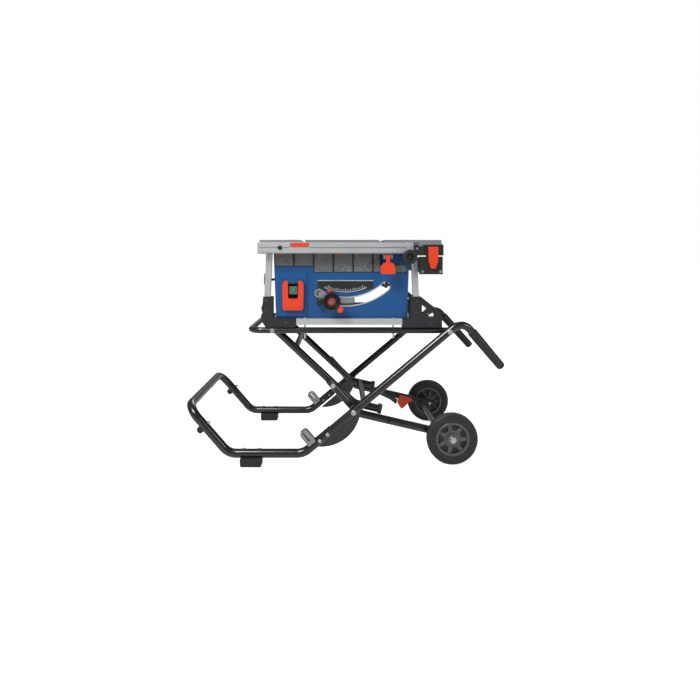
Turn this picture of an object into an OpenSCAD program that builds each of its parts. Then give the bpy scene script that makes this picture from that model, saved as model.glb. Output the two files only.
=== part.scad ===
// Jobsite table saw on a folding, wheeled stand.
// X runs along the front of the table, Y from the operator's side to the back, Z up from the floor.
// The origin is on the floor, under the middle of the whole machine.

/* [Stand] */
// Height of the platform tubes' centre line above the floor
platform_h = 533; // [500:1:560]
// X of the main scissor pivot
pivot_x = 31; // [10:1:50]
// Height of the main scissor pivot
pivot_h = 214; // [200:1:230]
// Angle of the long legs above the floor
leg_angle = 39.9; // [38:0.1:42]
// Y of the long legs' centre line
leg_y = 301; // [290:1:320]
// Sideways distance between neighbouring layers of the linkage
layer_pitch = 32; // [32:0.1:34]
// Outer diameter of the leg, arm and strut tubes
leg_od = 31.8; // [28:0.1:31.8]
// Outer diameter of the foot tubes and the loop
foot_od = 36; // [35.6:0.1:38]
// Outer diameter of the platform tube
platform_od = 25.4; // [22:0.1:26]
// Outer diameter of the platform's cross tube
platform_cross_od = 21; // [18:0.5:22]
// Wall of every tube
tube_wall = 2; // [1.5:0.1:2]
// Diameter of the pivot bolts
pivot_d = 12; // [8:0.5:12]
// Diameter of the small frame bolts
bolt_d = 8; // [6:0.5:8]

// X of the platform tube's left end
platform_left = -386; // [-390:1:-375]

/* [Foot and loop] */
// Height of the foot tubes' centre line
foot_h = 48; // [44:1:56]
// X of the bend between foot and loop arm
foot_left_x = -466; // [-480:1:-440]
// Angle of the loop arms above the floor
arm_angle = 48.9; // [45:0.1:52]
// Length of the loop arms from their bend to the loop's cross tube
loop_reach = 245.2; // [230:0.1:260]
// Bend radius of the foot tubes
foot_bend = 70; // [60:1:105]
// Bend radius of the loop's corners
loop_bend = 62; // [50:1:80]
// Length of the foot pads
pad_len = 86; // [70:1:100]
// Width of the foot pads
pad_w = 48; // [40:1:56]
// X of the foot pads' middle
pad_x = -375; // [-385:1:-350]
// Diameter of the rubber bumpers on the loop
bumper_d = 28; // [24:1:32]
// Height of the rubber bumpers
bumper_h = 16; // [10:1:20]

/* [Handles] */
// Distance from the platform pivot to the handle bend, along the leg
handle_rise = 68; // [60:1:76]
// Length of the handle from its bend to its end
handle_len = 259; // [200:1:260]
// Angle of the handles below the horizontal
handle_angle = 48.9; // [44:0.1:52]
// How far the handles lean inwards
handle_lean = 10; // [0:1:12]
// Bend radius of the handles
handle_bend = 50; // [45:1:54]
// Diameter of the grip where it begins
grip_d = 38.5; // [36:0.5:44]
// Diameter of the grip at its end
grip_end_d = 35; // [34:0.5:38]

/* [Linkage] */
// X of the strut's top pivot on the platform
strut_top_x = -295; // [-310:1:-280]
// X of the knee between strut and wheel arm
knee_x = -50; // [-54:1:-46]
// Height of the knee between strut and wheel arm
knee_h = 304; // [300:1:308]
// Distance from the main pivot to the bend of the wheel arm
arm_bend_reach = 34; // [30:1:38]
// Distance from the knee to the bend of the strut's tail
tail_bend_reach = 120; // [115:1:125]
// Length of the strut's tail beyond its bend
tail_len = 100; // [94:1:118]
// Outer diameter of the cross tubes
cross_od = 25.4; // [20:0.1:25.4]

/* [Wheels] */
// Outer diameter of the tyres
wheel_d = 204; // [190:1:210]
// Width of the tyres
tyre_w = 42; // [36:1:44]
// X of the wheel axle
axle_x = 427; // [410:1:440]
// Y of the middle of the wheels
wheel_y = 285; // [284:0.5:288]
// Diameter of the plastic rim
rim_d = 134; // [128:1:150]
// Number of spokes on the outside of each rim
spokes = 7; // [5:1:9]
// Number of thin ribs on the inside of each rim
rim_ribs = 9; // [6:1:12]
// Thickness of the web between hub and rim
web_t = 4; // [3:0.5:6]

/* [Table] */
// Height of the saw, from the platform to the table surface
saw_h = 352.3; // [345:0.1:365]
// Left edge of the table
table_left = -345; // [-350:1:-340]
// Right edge of the fixed table
table_right = 293; // [290:1:300]
// Width of the sliding table wing
wing_w = 92; // [80:1:110]
// Depth of the table from front to back
table_depth = 570; // [568:1:574]
// Thickness of the table slab
slab_t = 12; // [10:0.5:14]
// Depth of the skirt below the slab
skirt_h = 38; // [30:1:40]
// Width of each mitre slot
mitre_w = 19; // [16:0.5:22]
// Depth of each mitre slot
mitre_depth = 8; // [6:0.5:8.5]
// Length of the throat opening
throat_len = 380; // [360:1:390]
// Width of the throat opening
throat_w = 92; // [80:1:100]
// Thickness of the throat plate
throat_t = 4; // [3:0.5:5]

/* [Rails] */
// Height of the fence rails
rail_h = 38; // [34:1:40]
// Depth of the fence rails
rail_t = 26; // [22:1:28]
// Wall of the fence rails
rail_wall = 3; // [2:0.5:4]
// How far the rails sit below the table surface
rail_drop = 11; // [9:1:14]
// Left end of the fence rails
rail_left = -350; // [-352:1:-345]
// Pitch of the rack teeth under the rails
rack_pitch = 8; // [6:0.5:10]
// Height of the rack teeth
rack_tooth = 7; // [5:0.5:8]

/* [Housing] */
// Left side of the housing
housing_left = -291; // [-291:1:-285]
// Right side of the housing
housing_right = 260; // [255:1:260]
// How far each side of the housing leans in at the bottom
housing_taper = 10; // [6:1:12]
// Y of the housing's front face
housing_front = -262; // [-263:0.5:-261]
// Wall of the housing
housing_wall = 3; // [2:0.5:4]
// Bulge of the switch panel in front of the housing
bulge = 6; // [4:0.5:8]

/* [Base frame] */
// Size of the square posts
post_w = 24; // [20:0.5:25]
// Slant of the posts away from the saw
post_splay = 2.5; // [1:0.1:3]
// Height of the base rails
base_rail_h = 25; // [20:0.5:25]
// Height of the corner feet
corner_h = 124; // [110:1:130]
// Width of the corner feet across the saw
corner_w = 42; // [38:1:44]

/* [Blade] */
// Diameter of the saw blade
blade_d = 254; // [230:1:254]
// Thickness of the saw blade
blade_t = 2.4; // [1.8:0.1:2.8]
// Number of blade teeth
blade_teeth = 24; // [20:2:40]
// Diameter of the arbor
arbor_d = 15.9; // [12:0.1:16]
// Travel of the blade carriage
lift_travel = 74; // [60:1:76]
// Diameter of the motor body
motor_d = 88; // [80:1:90]
// Length of the motor body
motor_len = 150; // [130:1:155]

/* [Bevel] */
// Radius of the middle of the bevel slot
slot_r = 250; // [248:1:252]
// Width of the open bevel slot
slot_w = 30; // [28:0.5:32]
// Angle of the slot's right end
slot_right = 41; // [40:0.5:46]
// Angle of the slot's left end
slot_left = -21; // [-23:0.5:-20]
// Angle of the handwheel's place on the slot
wheel_place = -12.7; // [-13:0.1:-12]
// Diameter of the handwheel
handwheel_d = 72; // [64:1:76]

/* [Controls] */
// Width of the switch paddle
paddle_w = 82; // [76:1:86]
// Height of the switch paddle
paddle_h = 120; // [110:1:124]
// X of the middle of the switch
switch_x = -211; // [-214:1:-210]
// X of the rack knob
knob_x = 251; // [249:1:252]
// Diameter of the rack knob
knob_d = 58; // [50:1:60]
// X of the rail lock lever
lock_x = 168; // [160:1:176]

/* [Fits] */
// Radial clearance of a turning fit
run_fit = 0.05; // [0.03:0.01:0.08]
// Gap between bodies that pass each other
pass_gap = 0.4; // [0.3:0.05:0.6]

/* [Hidden] */
$fn = 64;

// Directions and key points of the linkage, as [x, z]
leg_dir = [cos(leg_angle), sin(leg_angle)];
main_pivot = [pivot_x, pivot_h];
platform_pivot = main_pivot + leg_dir * (platform_h - pivot_h) / leg_dir.y;
strut_pivot = [strut_top_x, platform_h];
knee = [knee_x, knee_h];
axle = [axle_x, wheel_d / 2];
platform_y = leg_y - layer_pitch;
arm_y = leg_y - 2 * layer_pitch;
strut_y = leg_y - 3 * layer_pitch;
foot_left = [foot_left_x, foot_h];
foot_right = main_pivot - leg_dir * (pivot_h - foot_h) / leg_dir.y;
arm_dir = [-cos(arm_angle), sin(arm_angle)];
handle_corner = platform_pivot + leg_dir * handle_rise;
handle_dir = [cos(handle_angle), -sin(handle_angle)];
seam_t = 102;
sleeve_end = 116;
sleeve_bolts = [134, 174];
catch_at = 205;
bumper_t = 144;
leg_in = leg_y - leg_od / 2;
arm_out = arm_y + leg_od / 2;
arm_in = arm_y - leg_od / 2;
strut_out = strut_y + leg_od / 2;
strut_in = strut_y - leg_od / 2;
platform_out = platform_y + platform_od / 2;
platform_in = platform_y - platform_od / 2;
plate_t = 3;
weld = 0.3;
fuller = 0.2;

// The wheel arm and the strut's tail
arm_dir1 = (main_pivot - knee) / norm(main_pivot - knee);
arm_corner = main_pivot + arm_dir1 * arm_bend_reach;
arm_dir2 = (axle - arm_corner) / norm(axle - arm_corner);
strut_dir = (knee - strut_pivot) / norm(knee - strut_pivot);
tail_corner = knee + strut_dir * tail_bend_reach;
tail_end = tail_corner + arm_dir2 * tail_len;
upper_cross = strut_pivot + strut_dir * 122;
tail_cross = tail_corner + arm_dir2 * 44;
arm_cross = axle - arm_dir2 * 42;
pedal_pivot = arm_corner + arm_dir2 * 125;

// Levers with a hinge along X
pin_d = 6;
ear_t = 4;
lock_half = 13;

// Heights in the saw
bed_z = platform_h + platform_od / 2;
table_h = bed_z + saw_h;
base_rail_z = bed_z + 11;
housing_bottom = base_rail_z + base_rail_h;
slab_z = table_h - slab_t;
skirt_z = slab_z - skirt_h;
table_y = table_depth / 2;
rail_y = table_y + 4;
rail_top = table_h - rail_drop;
rail_z = rail_top - rail_h;
wing_left = table_right + 0.5;
wing_right = wing_left + wing_w;
skirt_in = 16;
base_y = platform_y + 15;
lock_y = rail_y + rail_t - 4;
lock_z = skirt_z - 18;
corner_top = bed_z + corner_h;
saw_bolt_x = [-163, 193];
mitre_x = [-172, 145];
tilt_z = table_h;
tilt_x = 0;

// Inside the saw
arbor_z = table_h - 5 - blade_d / 2;
motor_z = arbor_z - 62;
wheel_axis = [tilt_x + slot_r * sin(wheel_place), tilt_z - slot_r * cos(wheel_place)];
rod_x = wheel_axis.x;
rod_y = 95;
screw_y = -140;
rod_d = 14;
screw_d = 10;
rod_low = table_h - 290;
rod_high = table_h - 80;
bridge_t = 14;
shaft_d = 12;
cradle_front = -252;
cradle_back = 242;
cradle_t = 6;
pinion_d = 24;
knob_z = rail_z - rack_tooth - pinion_d / 2 - pass_gap;
front_most = -350;

// ---------- helpers ----------

// Stands a drawing made in the XY plane up in the XZ plane at a given Y.
module upright(y) translate([0, y, 0]) rotate([90, 0, 0]) children();

module both_sides() {
    children();
    mirror([0, 1, 0]) children();
}

module ring(od, wall) difference() {
    circle(d = od);
    circle(d = od - 2 * wall);
}

function turn(a, b, c) = let (u = b - a, v = c - b) atan2(u.x * v.y - u.y * v.x, u * v);
function setback(p, i, r) =
    i <= 0 || i >= len(p) - 1 ? 0 : r * tan(abs(turn(p[i - 1], p[i], p[i + 1])) / 2);

// A tube along a chain of straight runs with round bends, in the XY plane. Each run reaches a
// little way into the bends, whose wall is a hair fuller, so that they weld into one piece.
module bent_tube(p, r, od, wall) {
    last = len(p) - 1;
    for (i = [0:last - 1]) {
        u = (p[i + 1] - p[i]) / norm(p[i + 1] - p[i]);
        a = p[i] + u * (setback(p, i, r) - (i > 0 ? weld : 0));
        b = p[i + 1] - u * (setback(p, i + 1, r) - (i + 1 < last ? weld : 0));
        translate(a) rotate([0, 0, atan2(u.y, u.x)]) rotate([0, 90, 0])
            linear_extrude(norm(b - a)) ring(od, wall);
    }
    if (last > 1) for (i = [1:last - 1]) {
        t = turn(p[i - 1], p[i], p[i + 1]);
        side = sign(t);
        u = (p[i] - p[i - 1]) / norm(p[i] - p[i - 1]);
        v = (p[i + 1] - p[i]) / norm(p[i + 1] - p[i]);
        start = p[i] - u * setback(p, i, r);
        centre = start + side * r * [-u.y, u.x];
        finish = p[i] + v * setback(p, i, r);
        from = side > 0 ? start - centre : finish - centre;
        translate(centre) rotate([0, 0, atan2(from.y, from.x)])
            rotate_extrude(angle = abs(t)) translate([r, 0]) ring(od + fuller, wall + fuller);
    }
}

// A round bar along Y at a point [x, z].
module y_bar(p, y0, y1, d) translate([p.x, y1, p.y]) rotate([90, 0, 0]) cylinder(d = d, h = y1 - y0);

// A hexagon along Y at a point [x, z].
module y_hex(p, y0, y1, d) translate([p.x, y1, p.y]) rotate([90, 0, 0])
    cylinder(d = d, h = y1 - y0, $fn = 6);

module box(x0, x1, y0, y1, z0, z1) translate([x0, y0, z0]) cube([x1 - x0, y1 - y0, z1 - z0]);

// A round bar along X, reaching half_len each side of x.
module x_bar(x, half_len, y, z, d) translate([x - half_len, y, z]) rotate([0, 90, 0])
    cylinder(d = d, h = 2 * half_len);

// Two ears for a lever that is half_w wide each side of x.
module clevis(x, half_w, y0, y1, z, h) for (s = [-1, 1])
    translate([s * (half_w + pass_gap + ear_t / 2), 0, 0])
    box(x - ear_t / 2, x + ear_t / 2, y0, y1, z - h / 2, z + h / 2);

// A flat arc around the bevel axis, in the XZ plane, with angles from straight down towards +X.
module arc_2d(r0, r1, a0, a1) difference() {
    intersection() {
        circle(r = r1, $fn = 128);
        polygon([[0, 0], for (k = [0:8]) let (a = a0 + (a1 - a0) * k / 8) 1.2 * r1 * [sin(a), -cos(a)]]);
    }
    circle(r = r0, $fn = 128);
}

module at_tilt_axis(y) translate([tilt_x, y, tilt_z]) rotate([90, 0, 0]) children();

// ---------- stand: base frame ----------

module loop_frame() translate([foot_left.x, 0, foot_left.y]) rotate([0, -180 + arm_angle, 0]) children();

module base_loop() color("#2b2c2e") difference() {
    loop_frame() {
        bent_tube([[seam_t, -leg_y], [loop_reach, -leg_y], [loop_reach, leg_y], [seam_t, leg_y]],
            loop_bend, foot_od, tube_wall);
        both_sides() translate([0, -leg_y, 0]) rotate([0, 90, 0]) {
            translate([0, 0, seam_t - 42]) linear_extrude(48)
                ring(foot_od - 2 * tube_wall - 2 * run_fit, tube_wall);
            translate([0, 0, seam_t]) linear_extrude(6) ring(foot_od, 2 * tube_wall);
        }
    }
    loop_frame() both_sides() translate([bumper_t, -leg_y, -foot_od]) cylinder(d = bolt_d, h = 2 * foot_od);
}

module foot_tube() difference() {
    upright(-leg_y) bent_tube([foot_left + arm_dir * seam_t, foot_left, foot_right,
        main_pivot - leg_dir * sleeve_end], foot_bend, foot_od, tube_wall);
    for (s = sleeve_bolts) y_bar(main_pivot - leg_dir * s, -leg_y - foot_od, -leg_y + foot_od, bolt_d);
    for (x = pad_bolt_x()) translate([x, -leg_y, 0]) cylinder(d = bolt_d, h = foot_h + foot_od);
}

function pad_bolt_x() = [pad_x - pad_len / 2 + 12, pad_x + pad_len / 2 - 12];

module foot_tube_near() color("#2b2c2e") foot_tube();
module foot_tube_far() color("#2b2c2e") mirror([0, 1, 0]) foot_tube();

// Turns what is drawn in the leg's plane about the leg's own axis, so that the handle leans inwards.
module handle_turn() translate([platform_pivot.x, -leg_y, platform_pivot.y])
    rotate(a = handle_lean, v = [leg_dir.x, 0, leg_dir.y])
    translate([-platform_pivot.x, leg_y, -platform_pivot.y]) children();

module leg_tube() difference() {
    handle_turn() upright(-leg_y) bent_tube([main_pivot - leg_dir * 196, handle_corner,
        handle_corner + handle_dir * handle_len], handle_bend, leg_od, tube_wall);
    for (s = sleeve_bolts) y_bar(main_pivot - leg_dir * s, -leg_y - foot_od, -leg_y + foot_od, bolt_d);
    for (p = [main_pivot, platform_pivot]) y_bar(p, -leg_y - foot_od, -leg_y + foot_od, pivot_d);
}

module leg_tube_near() color("#2b2c2e") leg_tube();
module leg_tube_far() color("#2b2c2e") mirror([0, 1, 0]) leg_tube();

grip_start = handle_bend + 14;
grip_len = handle_len - grip_start;

module handle_grip() handle_turn() upright(-leg_y) translate(handle_corner + handle_dir * grip_start)
    rotate([0, 0, -handle_angle]) rotate([0, 90, 0]) rotate_extrude()
    polygon([[leg_od / 2, 0], [grip_d / 2 - 2, 0], [grip_d / 2, 3], [grip_end_d / 2, grip_len - 4],
        [grip_end_d / 2 - 1, grip_len], [grip_end_d / 2 - 4, grip_len + 4],
        [grip_end_d / 2 - 9, grip_len + 6], [0, grip_len + 6], [0, grip_len], [leg_od / 2, grip_len]]);

module handle_grips() color("#1d1e20") both_sides() handle_grip();

module foot_pad() difference() {
    upright(-leg_y + pad_w / 2) linear_extrude(pad_w)
        polygon([[pad_x - pad_len / 2 + 3, 0], [pad_x + pad_len / 2 - 3, 0],
            [pad_x + pad_len / 2 - 1, 4], [pad_x + pad_len / 2, foot_h - 12],
            [pad_x - pad_len / 2, foot_h - 12], [pad_x - pad_len / 2 + 1, 4]]);
    translate([pad_x - pad_len, -leg_y, foot_h]) rotate([0, 90, 0]) cylinder(d = foot_od, h = 2 * pad_len);
    for (x = pad_bolt_x()) translate([x, -leg_y, 4]) cylinder(d = bolt_d, h = foot_h);
}

module foot_pads() color("#1f2022") both_sides() foot_pad();

module loop_bumper() loop_frame() difference() {
    translate([bumper_t, -leg_y, foot_od / 4]) cylinder(d = bumper_d, h = bumper_h + foot_od / 4);
    translate([0, -leg_y, 0]) rotate([0, 90, 0]) cylinder(d = foot_od, h = loop_reach);
    translate([bumper_t, -leg_y, -foot_od]) cylinder(d = bolt_d, h = 2 * foot_od);
}

module loop_bumpers() color("#161718") both_sides() loop_bumper();

// A curved guard plate on the inside of each leg, below the main pivot.
module stop_plate() translate([0, plate_y(), 0]) rotate([90, 0, 0]) linear_extrude(plate_t) difference() {
    translate(main_pivot + [-128, 11]) circle(r = 158, $fn = 128);
    translate(main_pivot) rotate([0, 0, leg_angle]) {
        translate([-400, 0]) square([800, 400]);
        translate([-400, -foot_od / 2 - 2]) square([400 - 97, 200]);
    }
    translate(main_pivot) circle(d = pivot_d);
}

function plate_y() = -leg_in + plate_t;

module stop_plates() color("#26272a") both_sides() stop_plate();

catch_w = 36;
catch_len = foot_od / 2 + 54;
catch_slit = 8;

// A folded steel bracket that the platform drops behind when the stand is folded.
module saddle_catch() difference() {
    upright(-leg_y + 16) translate(main_pivot - leg_dir * catch_at) rotate([0, 0, leg_angle])
        linear_extrude(32) difference() {
            polygon([[-catch_w / 2, 0], [catch_w / 2, 0], [catch_w / 2, catch_len - 10],
                [catch_w / 2 - 8, catch_len], [8 - catch_w / 2, catch_len],
                [-catch_w / 2, catch_len - 10]]);
            translate([-catch_slit / 2, foot_od / 2 + 8]) square([catch_slit, catch_len - foot_od / 2 - 14]);
        }
    upright(-leg_y) translate(main_pivot - leg_dir * 300) rotate([0, 0, leg_angle]) rotate([0, 90, 0])
        cylinder(d = foot_od, h = 200);
}

module saddle_catches() color("#6e7072") both_sides() saddle_catch();

module base_bolts() color("#b9bcc0") both_sides() {
    for (s = sleeve_bolts) let (p = main_pivot - leg_dir * s) {
        y_bar(p, -leg_y - foot_od / 2 - 1, -leg_y + foot_od / 2 - 1, bolt_d);
        y_bar(p, -leg_y - foot_od / 2 - 4, -leg_y - foot_od / 2, 15);
    }
    // main pivot: head, shank through leg, guard plate and arm, and the spacer between them
    y_bar(main_pivot, -leg_y - leg_od / 2 - 1, -arm_in - 0.3, pivot_d - 2 * run_fit);
    y_bar(main_pivot, -leg_y - leg_od / 2 - 5, -leg_y - leg_od / 2, 21);
    y_bar(main_pivot, plate_y(), -arm_out - pass_gap, 24);
    // platform pivot: head, shank, washer and nut
    y_bar(platform_pivot, -leg_y - leg_od / 2 - 1, -platform_in + 8, pivot_d - 2 * run_fit);
    y_bar(platform_pivot, -leg_y - leg_od / 2 - 5, -leg_y - leg_od / 2, 20);
    y_bar(platform_pivot, -leg_in, -platform_out - pass_gap, 22);
    y_hex(platform_pivot, -platform_in + pass_gap, -platform_in + 8, 20);
    // loop bolts
    loop_frame() translate([bumper_t, -leg_y, 0]) {
        translate([0, 0, -foot_od / 2 - 10]) cylinder(d = bolt_d, h = foot_od + bumper_h + 7);
        translate([0, 0, -foot_od / 2 - 6]) cylinder(d = 15, h = 6, $fn = 6);
    }
    // pad bolts
    for (x = pad_bolt_x()) translate([x, -leg_y, 0]) {
        translate([0, 0, 4]) cylinder(d = bolt_d, h = foot_h + foot_od / 2 - 4);
        translate([0, 0, foot_h + foot_od / 2]) cylinder(d = 14, h = 3);
    }
}

// ---------- stand: platform ----------

platform_bend = 50;
platform_cross = [350, platform_h];

module saw_bolt_places() for (x = saw_bolt_x) both_sides() translate([x, -platform_y, 0]) children();

module platform_frame() color("#2b2c2e") difference() {
    union() {
        translate([0, 0, platform_h]) bent_tube([[platform_pivot.x + 14, -platform_y],
            [platform_left, -platform_y], [platform_left, platform_y], [platform_pivot.x + 14, platform_y]],
            platform_bend, platform_od, tube_wall);
        difference() {
            y_bar(platform_cross, -platform_y, platform_y, platform_cross_od);
            y_bar(platform_cross, -platform_y - 1, platform_y + 1, platform_cross_od - 2 * tube_wall);
            both_sides() translate([platform_cross.x - platform_od, -platform_y, platform_h])
                rotate([0, 90, 0]) cylinder(d = platform_od - tube_wall, h = 2 * platform_od);
        }
    }
    y_bar(platform_pivot, -leg_y, leg_y, pivot_d);
    y_bar(strut_pivot, -leg_y, leg_y, pivot_d);
    saw_bolt_places() translate([0, 0, platform_h - 30]) cylinder(d = bolt_d, h = 60);
}

saw_bolt_head = 13;

module platform_bolts() color("#b9bcc0") {
    both_sides() {
        y_bar(strut_pivot, -platform_out - 1, -strut_in + 8, pivot_d - 2 * run_fit);
        y_bar(strut_pivot, -platform_out - 2.6, -platform_out, 18);
        y_bar(strut_pivot, -platform_in, -strut_out - pass_gap, 22);
        y_hex(strut_pivot, -strut_in + pass_gap, -strut_in + 8, 20);
    }
    saw_bolt_places() {
        translate([0, 0, platform_h - 32]) cylinder(d = bolt_d, h = housing_bottom - platform_h + 32);
        translate([0, 0, housing_bottom]) cylinder(d = saw_bolt_head, h = 4);
    }
}

// ---------- stand: strut and wheel arm ----------

strut_bend = 60;
arm_bend = 70;

// A cross tube between the two side tubes of a frame, coped where it meets them.
module cross_tube(p, dir, y) difference() {
    y_bar(p, -y, y, cross_od);
    y_bar(p, -y - 1, y + 1, cross_od - 2 * tube_wall);
    both_sides() upright(-y) translate(p) rotate([0, 0, atan2(dir.y, dir.x)]) rotate([0, 90, 0])
        cylinder(d = leg_od - tube_wall, h = 2 * cross_od, center = true);
}

module strut_frame() color("#2b2c2e") {
    both_sides() difference() {
        upright(-strut_y) bent_tube([strut_pivot - strut_dir * 16, tail_corner, tail_end], strut_bend,
            leg_od, tube_wall);
        y_bar(strut_pivot, -leg_y, 0, pivot_d);
    }
    cross_tube(upper_cross, strut_dir, strut_y);
    cross_tube(tail_cross, arm_dir2, strut_y);
}

bumper_w = 31;
bumper_block = 16;

module strut_bumper() {
    upright(-strut_y) translate(tail_end) rotate([0, 0, atan2(arm_dir2.y, arm_dir2.x)]) {
        rotate([0, 90, 0]) translate([0, 0, -20]) cylinder(d = leg_od - 2 * tube_wall, h = 20);
        translate([0, -16, -bumper_w / 2]) cube([bumper_block, 35, bumper_w]);
    }
    y_hex(knee, -strut_in, -strut_in + 7, 19);
}

module strut_bumpers() color("#1d1e20") both_sides() difference() {
    strut_bumper();
    upright(-strut_y) translate(strut_pivot) rotate([0, 0, atan2(strut_dir.y, strut_dir.x)])
        rotate([0, 90, 0]) cylinder(d = leg_od, h = 420);
}

module wheel_frame() color("#2b2c2e") {
    both_sides() difference() {
        upright(-arm_y) bent_tube([knee - arm_dir1 * 25, arm_corner, axle + arm_dir2 * 20], arm_bend,
            leg_od, tube_wall);
        y_bar(main_pivot, -leg_y, 0, pivot_d);
        for (p = [knee, axle]) y_bar(p, -leg_y, 0, pivot_d);
        y_bar(pedal_pivot, -leg_y, 0, bolt_d + 2 * run_fit);
    }
    cross_tube(arm_cross, arm_dir2, arm_y);
}

hub_w = tyre_w + 4;

module arm_bolts() color("#b9bcc0") both_sides() {
    y_bar(knee, -arm_out - 1, -arm_in - pass_gap, pivot_d);
    y_bar(knee, -arm_out - 3, -arm_out, 19);
    y_bar(axle, -wheel_y - hub_w / 2 - 8, -arm_in - pass_gap, pivot_d - 2 * run_fit);
    y_bar(axle, -wheel_y + hub_w / 2 + pass_gap, -arm_out, 20);
    y_bar(axle, -wheel_y - hub_w / 2 - 8, -wheel_y - hub_w / 2 - pass_gap, 22);
}

module tyre() translate([axle.x, -wheel_y, axle.y]) rotate([90, 0, 0]) rotate_extrude($fn = 128)
    polygon([[rim_d / 2, -tyre_w / 2 + 5], [rim_d / 2 + 14, -tyre_w / 2], [wheel_d / 2 - 7, -tyre_w / 2 + 2],
        [wheel_d / 2 - 1, -tyre_w / 2 + 8], [wheel_d / 2, -tyre_w / 2 + 14], [wheel_d / 2, tyre_w / 2 - 14],
        [wheel_d / 2 - 1, tyre_w / 2 - 8], [wheel_d / 2 - 7, tyre_w / 2 - 2], [rim_d / 2 + 14, tyre_w / 2],
        [rim_d / 2, tyre_w / 2 - 5]]);

module tyre_near() color("#1c1d1f") tyre();
module tyre_far() color("#1c1d1f") mirror([0, 1, 0]) tyre();

rim_wall = 8;
hub_disc_d = 70;
spoke_w = 15;
spoke_out = 9;
rib_in = 13;

module rim() translate([axle.x, -wheel_y, axle.y]) rotate([90, 0, 0]) difference() {
    union() {
        difference() {
            cylinder(d = rim_d, h = tyre_w - 8, center = true, $fn = 128);
            cylinder(d = rim_d - 2 * rim_wall, h = tyre_w, center = true, $fn = 128);
        }
        cylinder(d = 46, h = hub_w, center = true);
        cylinder(d = rim_d - rim_wall, h = web_t, center = true);
        cylinder(d = hub_disc_d, h = spoke_out + 1);
        for (i = [0:spokes - 1]) rotate([0, 0, i * 360 / spokes])
            translate([20, -spoke_w / 2, 0]) cube([rim_d / 2 - 24, spoke_w, spoke_out]);
        for (i = [0:rim_ribs - 1]) rotate([0, 0, i * 360 / rim_ribs])
            translate([20, -2, -rib_in]) cube([rim_d / 2 - 24, 4, rib_in]);
    }
    cylinder(d = pivot_d, h = hub_w + 2, center = true);
}

module rim_near() color("#3a3b3e") rim();
module rim_far() color("#3a3b3e") mirror([0, 1, 0]) rim();

pad_top = -leg_od / 2 - 1.6;

// The foot pedal that frees the strut's tail, on the inside of the back wheel arm.
module release_pedal() color("#e8452c") {
    y_bar(pedal_pivot, arm_in - 6, arm_y + 4, bolt_d);
    translate([pedal_pivot.x, arm_in - 1, pedal_pivot.y]) rotate([90, 0, 0])
        rotate([0, 0, atan2(arm_dir2.y, arm_dir2.x)]) {
            linear_extrude(5) polygon([[-12, -10], [14, -14], [60, -24], [100, -44], [120, -50], [150, -30],
                [172, -18], [165, 12], [104, 14], [92, -14], [60, -8], [14, 10], [-12, 10]]);
            translate([112, 0, -26]) linear_extrude(30)
                polygon([[0, -20], [4, -42], [16, -58], [38, -47], [60, -26], [60, pad_top], [0, pad_top]]);
        }
}

// ---------- saw: base frame ----------

post_left = table_left + 38;
post_right = table_right - 17;
post_low = bed_z + 26;
foot_wall = 3.5;

// A square post from under the table down into its corner foot, at the top point [x, y].
module post(x, side, clear) translate([x, 0, skirt_z]) rotate([0, -side * post_splay, 0])
    translate([-post_w / 2 - clear, -base_y + foot_wall - clear, post_low - skirt_z])
    cube([post_w + 2 * clear, post_w + 2 * clear, skirt_z - post_low]);

module posts() color("#b4b7ba") both_sides() difference() {
    union() {
        post(post_left, -1, 0);
        post(post_right, 1, 0);
    }
    box(-500, 500, -400, 0, skirt_z - 0.01, table_h);
}

rail_from = -198;
rail_to = 228;
left_edge = housing_left - 1;

module left_foot() difference() {
    upright(-base_y + corner_w) linear_extrude(corner_w) polygon([
        [post_left - 24, corner_top], [left_edge, corner_top], [left_edge, housing_bottom],
        [rail_from, housing_bottom], [rail_from, bed_z + 4], [rail_from - 8, bed_z], [post_left - 14, bed_z],
        [post_left - 30, bed_z + 25], [post_left - 33, bed_z + 48], [post_left - 27, bed_z + 60],
        [post_left - 32, bed_z + 78], [post_left - 26, bed_z + 96]]);
    post(post_left, -1, 0);
    box(rail_from - 1, 0, -base_y - 1, -base_y + 26, base_rail_z, housing_bottom + 1);
}

module left_feet() color("#26272a") both_sides() left_foot();

right_edge = housing_right + 1;

module right_foot() difference() {
    upright(-base_y + corner_w) linear_extrude(corner_w) difference() {
        polygon([[right_edge, corner_top], [post_right + 27, corner_top], [post_right + 65, bed_z + 94],
            [post_right + 90, bed_z + 76], [post_right + 112, bed_z + 44], [post_right + 112, bed_z],
            [rail_to, bed_z], [rail_to, housing_bottom], [right_edge, housing_bottom]]);
        translate([post_right, bed_z]) {
            polygon([[31, 92], [31, 52], [55, 73]]);
            polygon([[50, 42], [84, 42], [84, 64], [74, 64]]);
        }
    }
    post(post_right, 1, 0);
    box(0, rail_to + 1, -base_y - 1, -base_y + 26, base_rail_z, housing_bottom + 1);
}

module right_feet() color("#26272a") both_sides() right_foot();

module rail_section(len) linear_extrude(len) difference() {
    square([25, base_rail_h]);
    translate([3, 3]) square([19, base_rail_h - 6]);
}

module base_rails() color("#b4b7ba") difference() {
    both_sides() {
        translate([rail_from, -base_y + 25, base_rail_z]) rotate([90, 0, 90]) mirror([1, 0, 0])
            rail_section(rail_to - rail_from);
        for (x = [post_left + 10, post_right - 22]) translate([x, -base_y + corner_w, base_rail_z])
            mirror([0, 1, 0]) rotate([90, 0, 0]) rail_section(base_y - corner_w);
    }
    saw_bolt_places() cylinder(d = bolt_d, h = table_h);
}

// ---------- saw: table ----------

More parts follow.
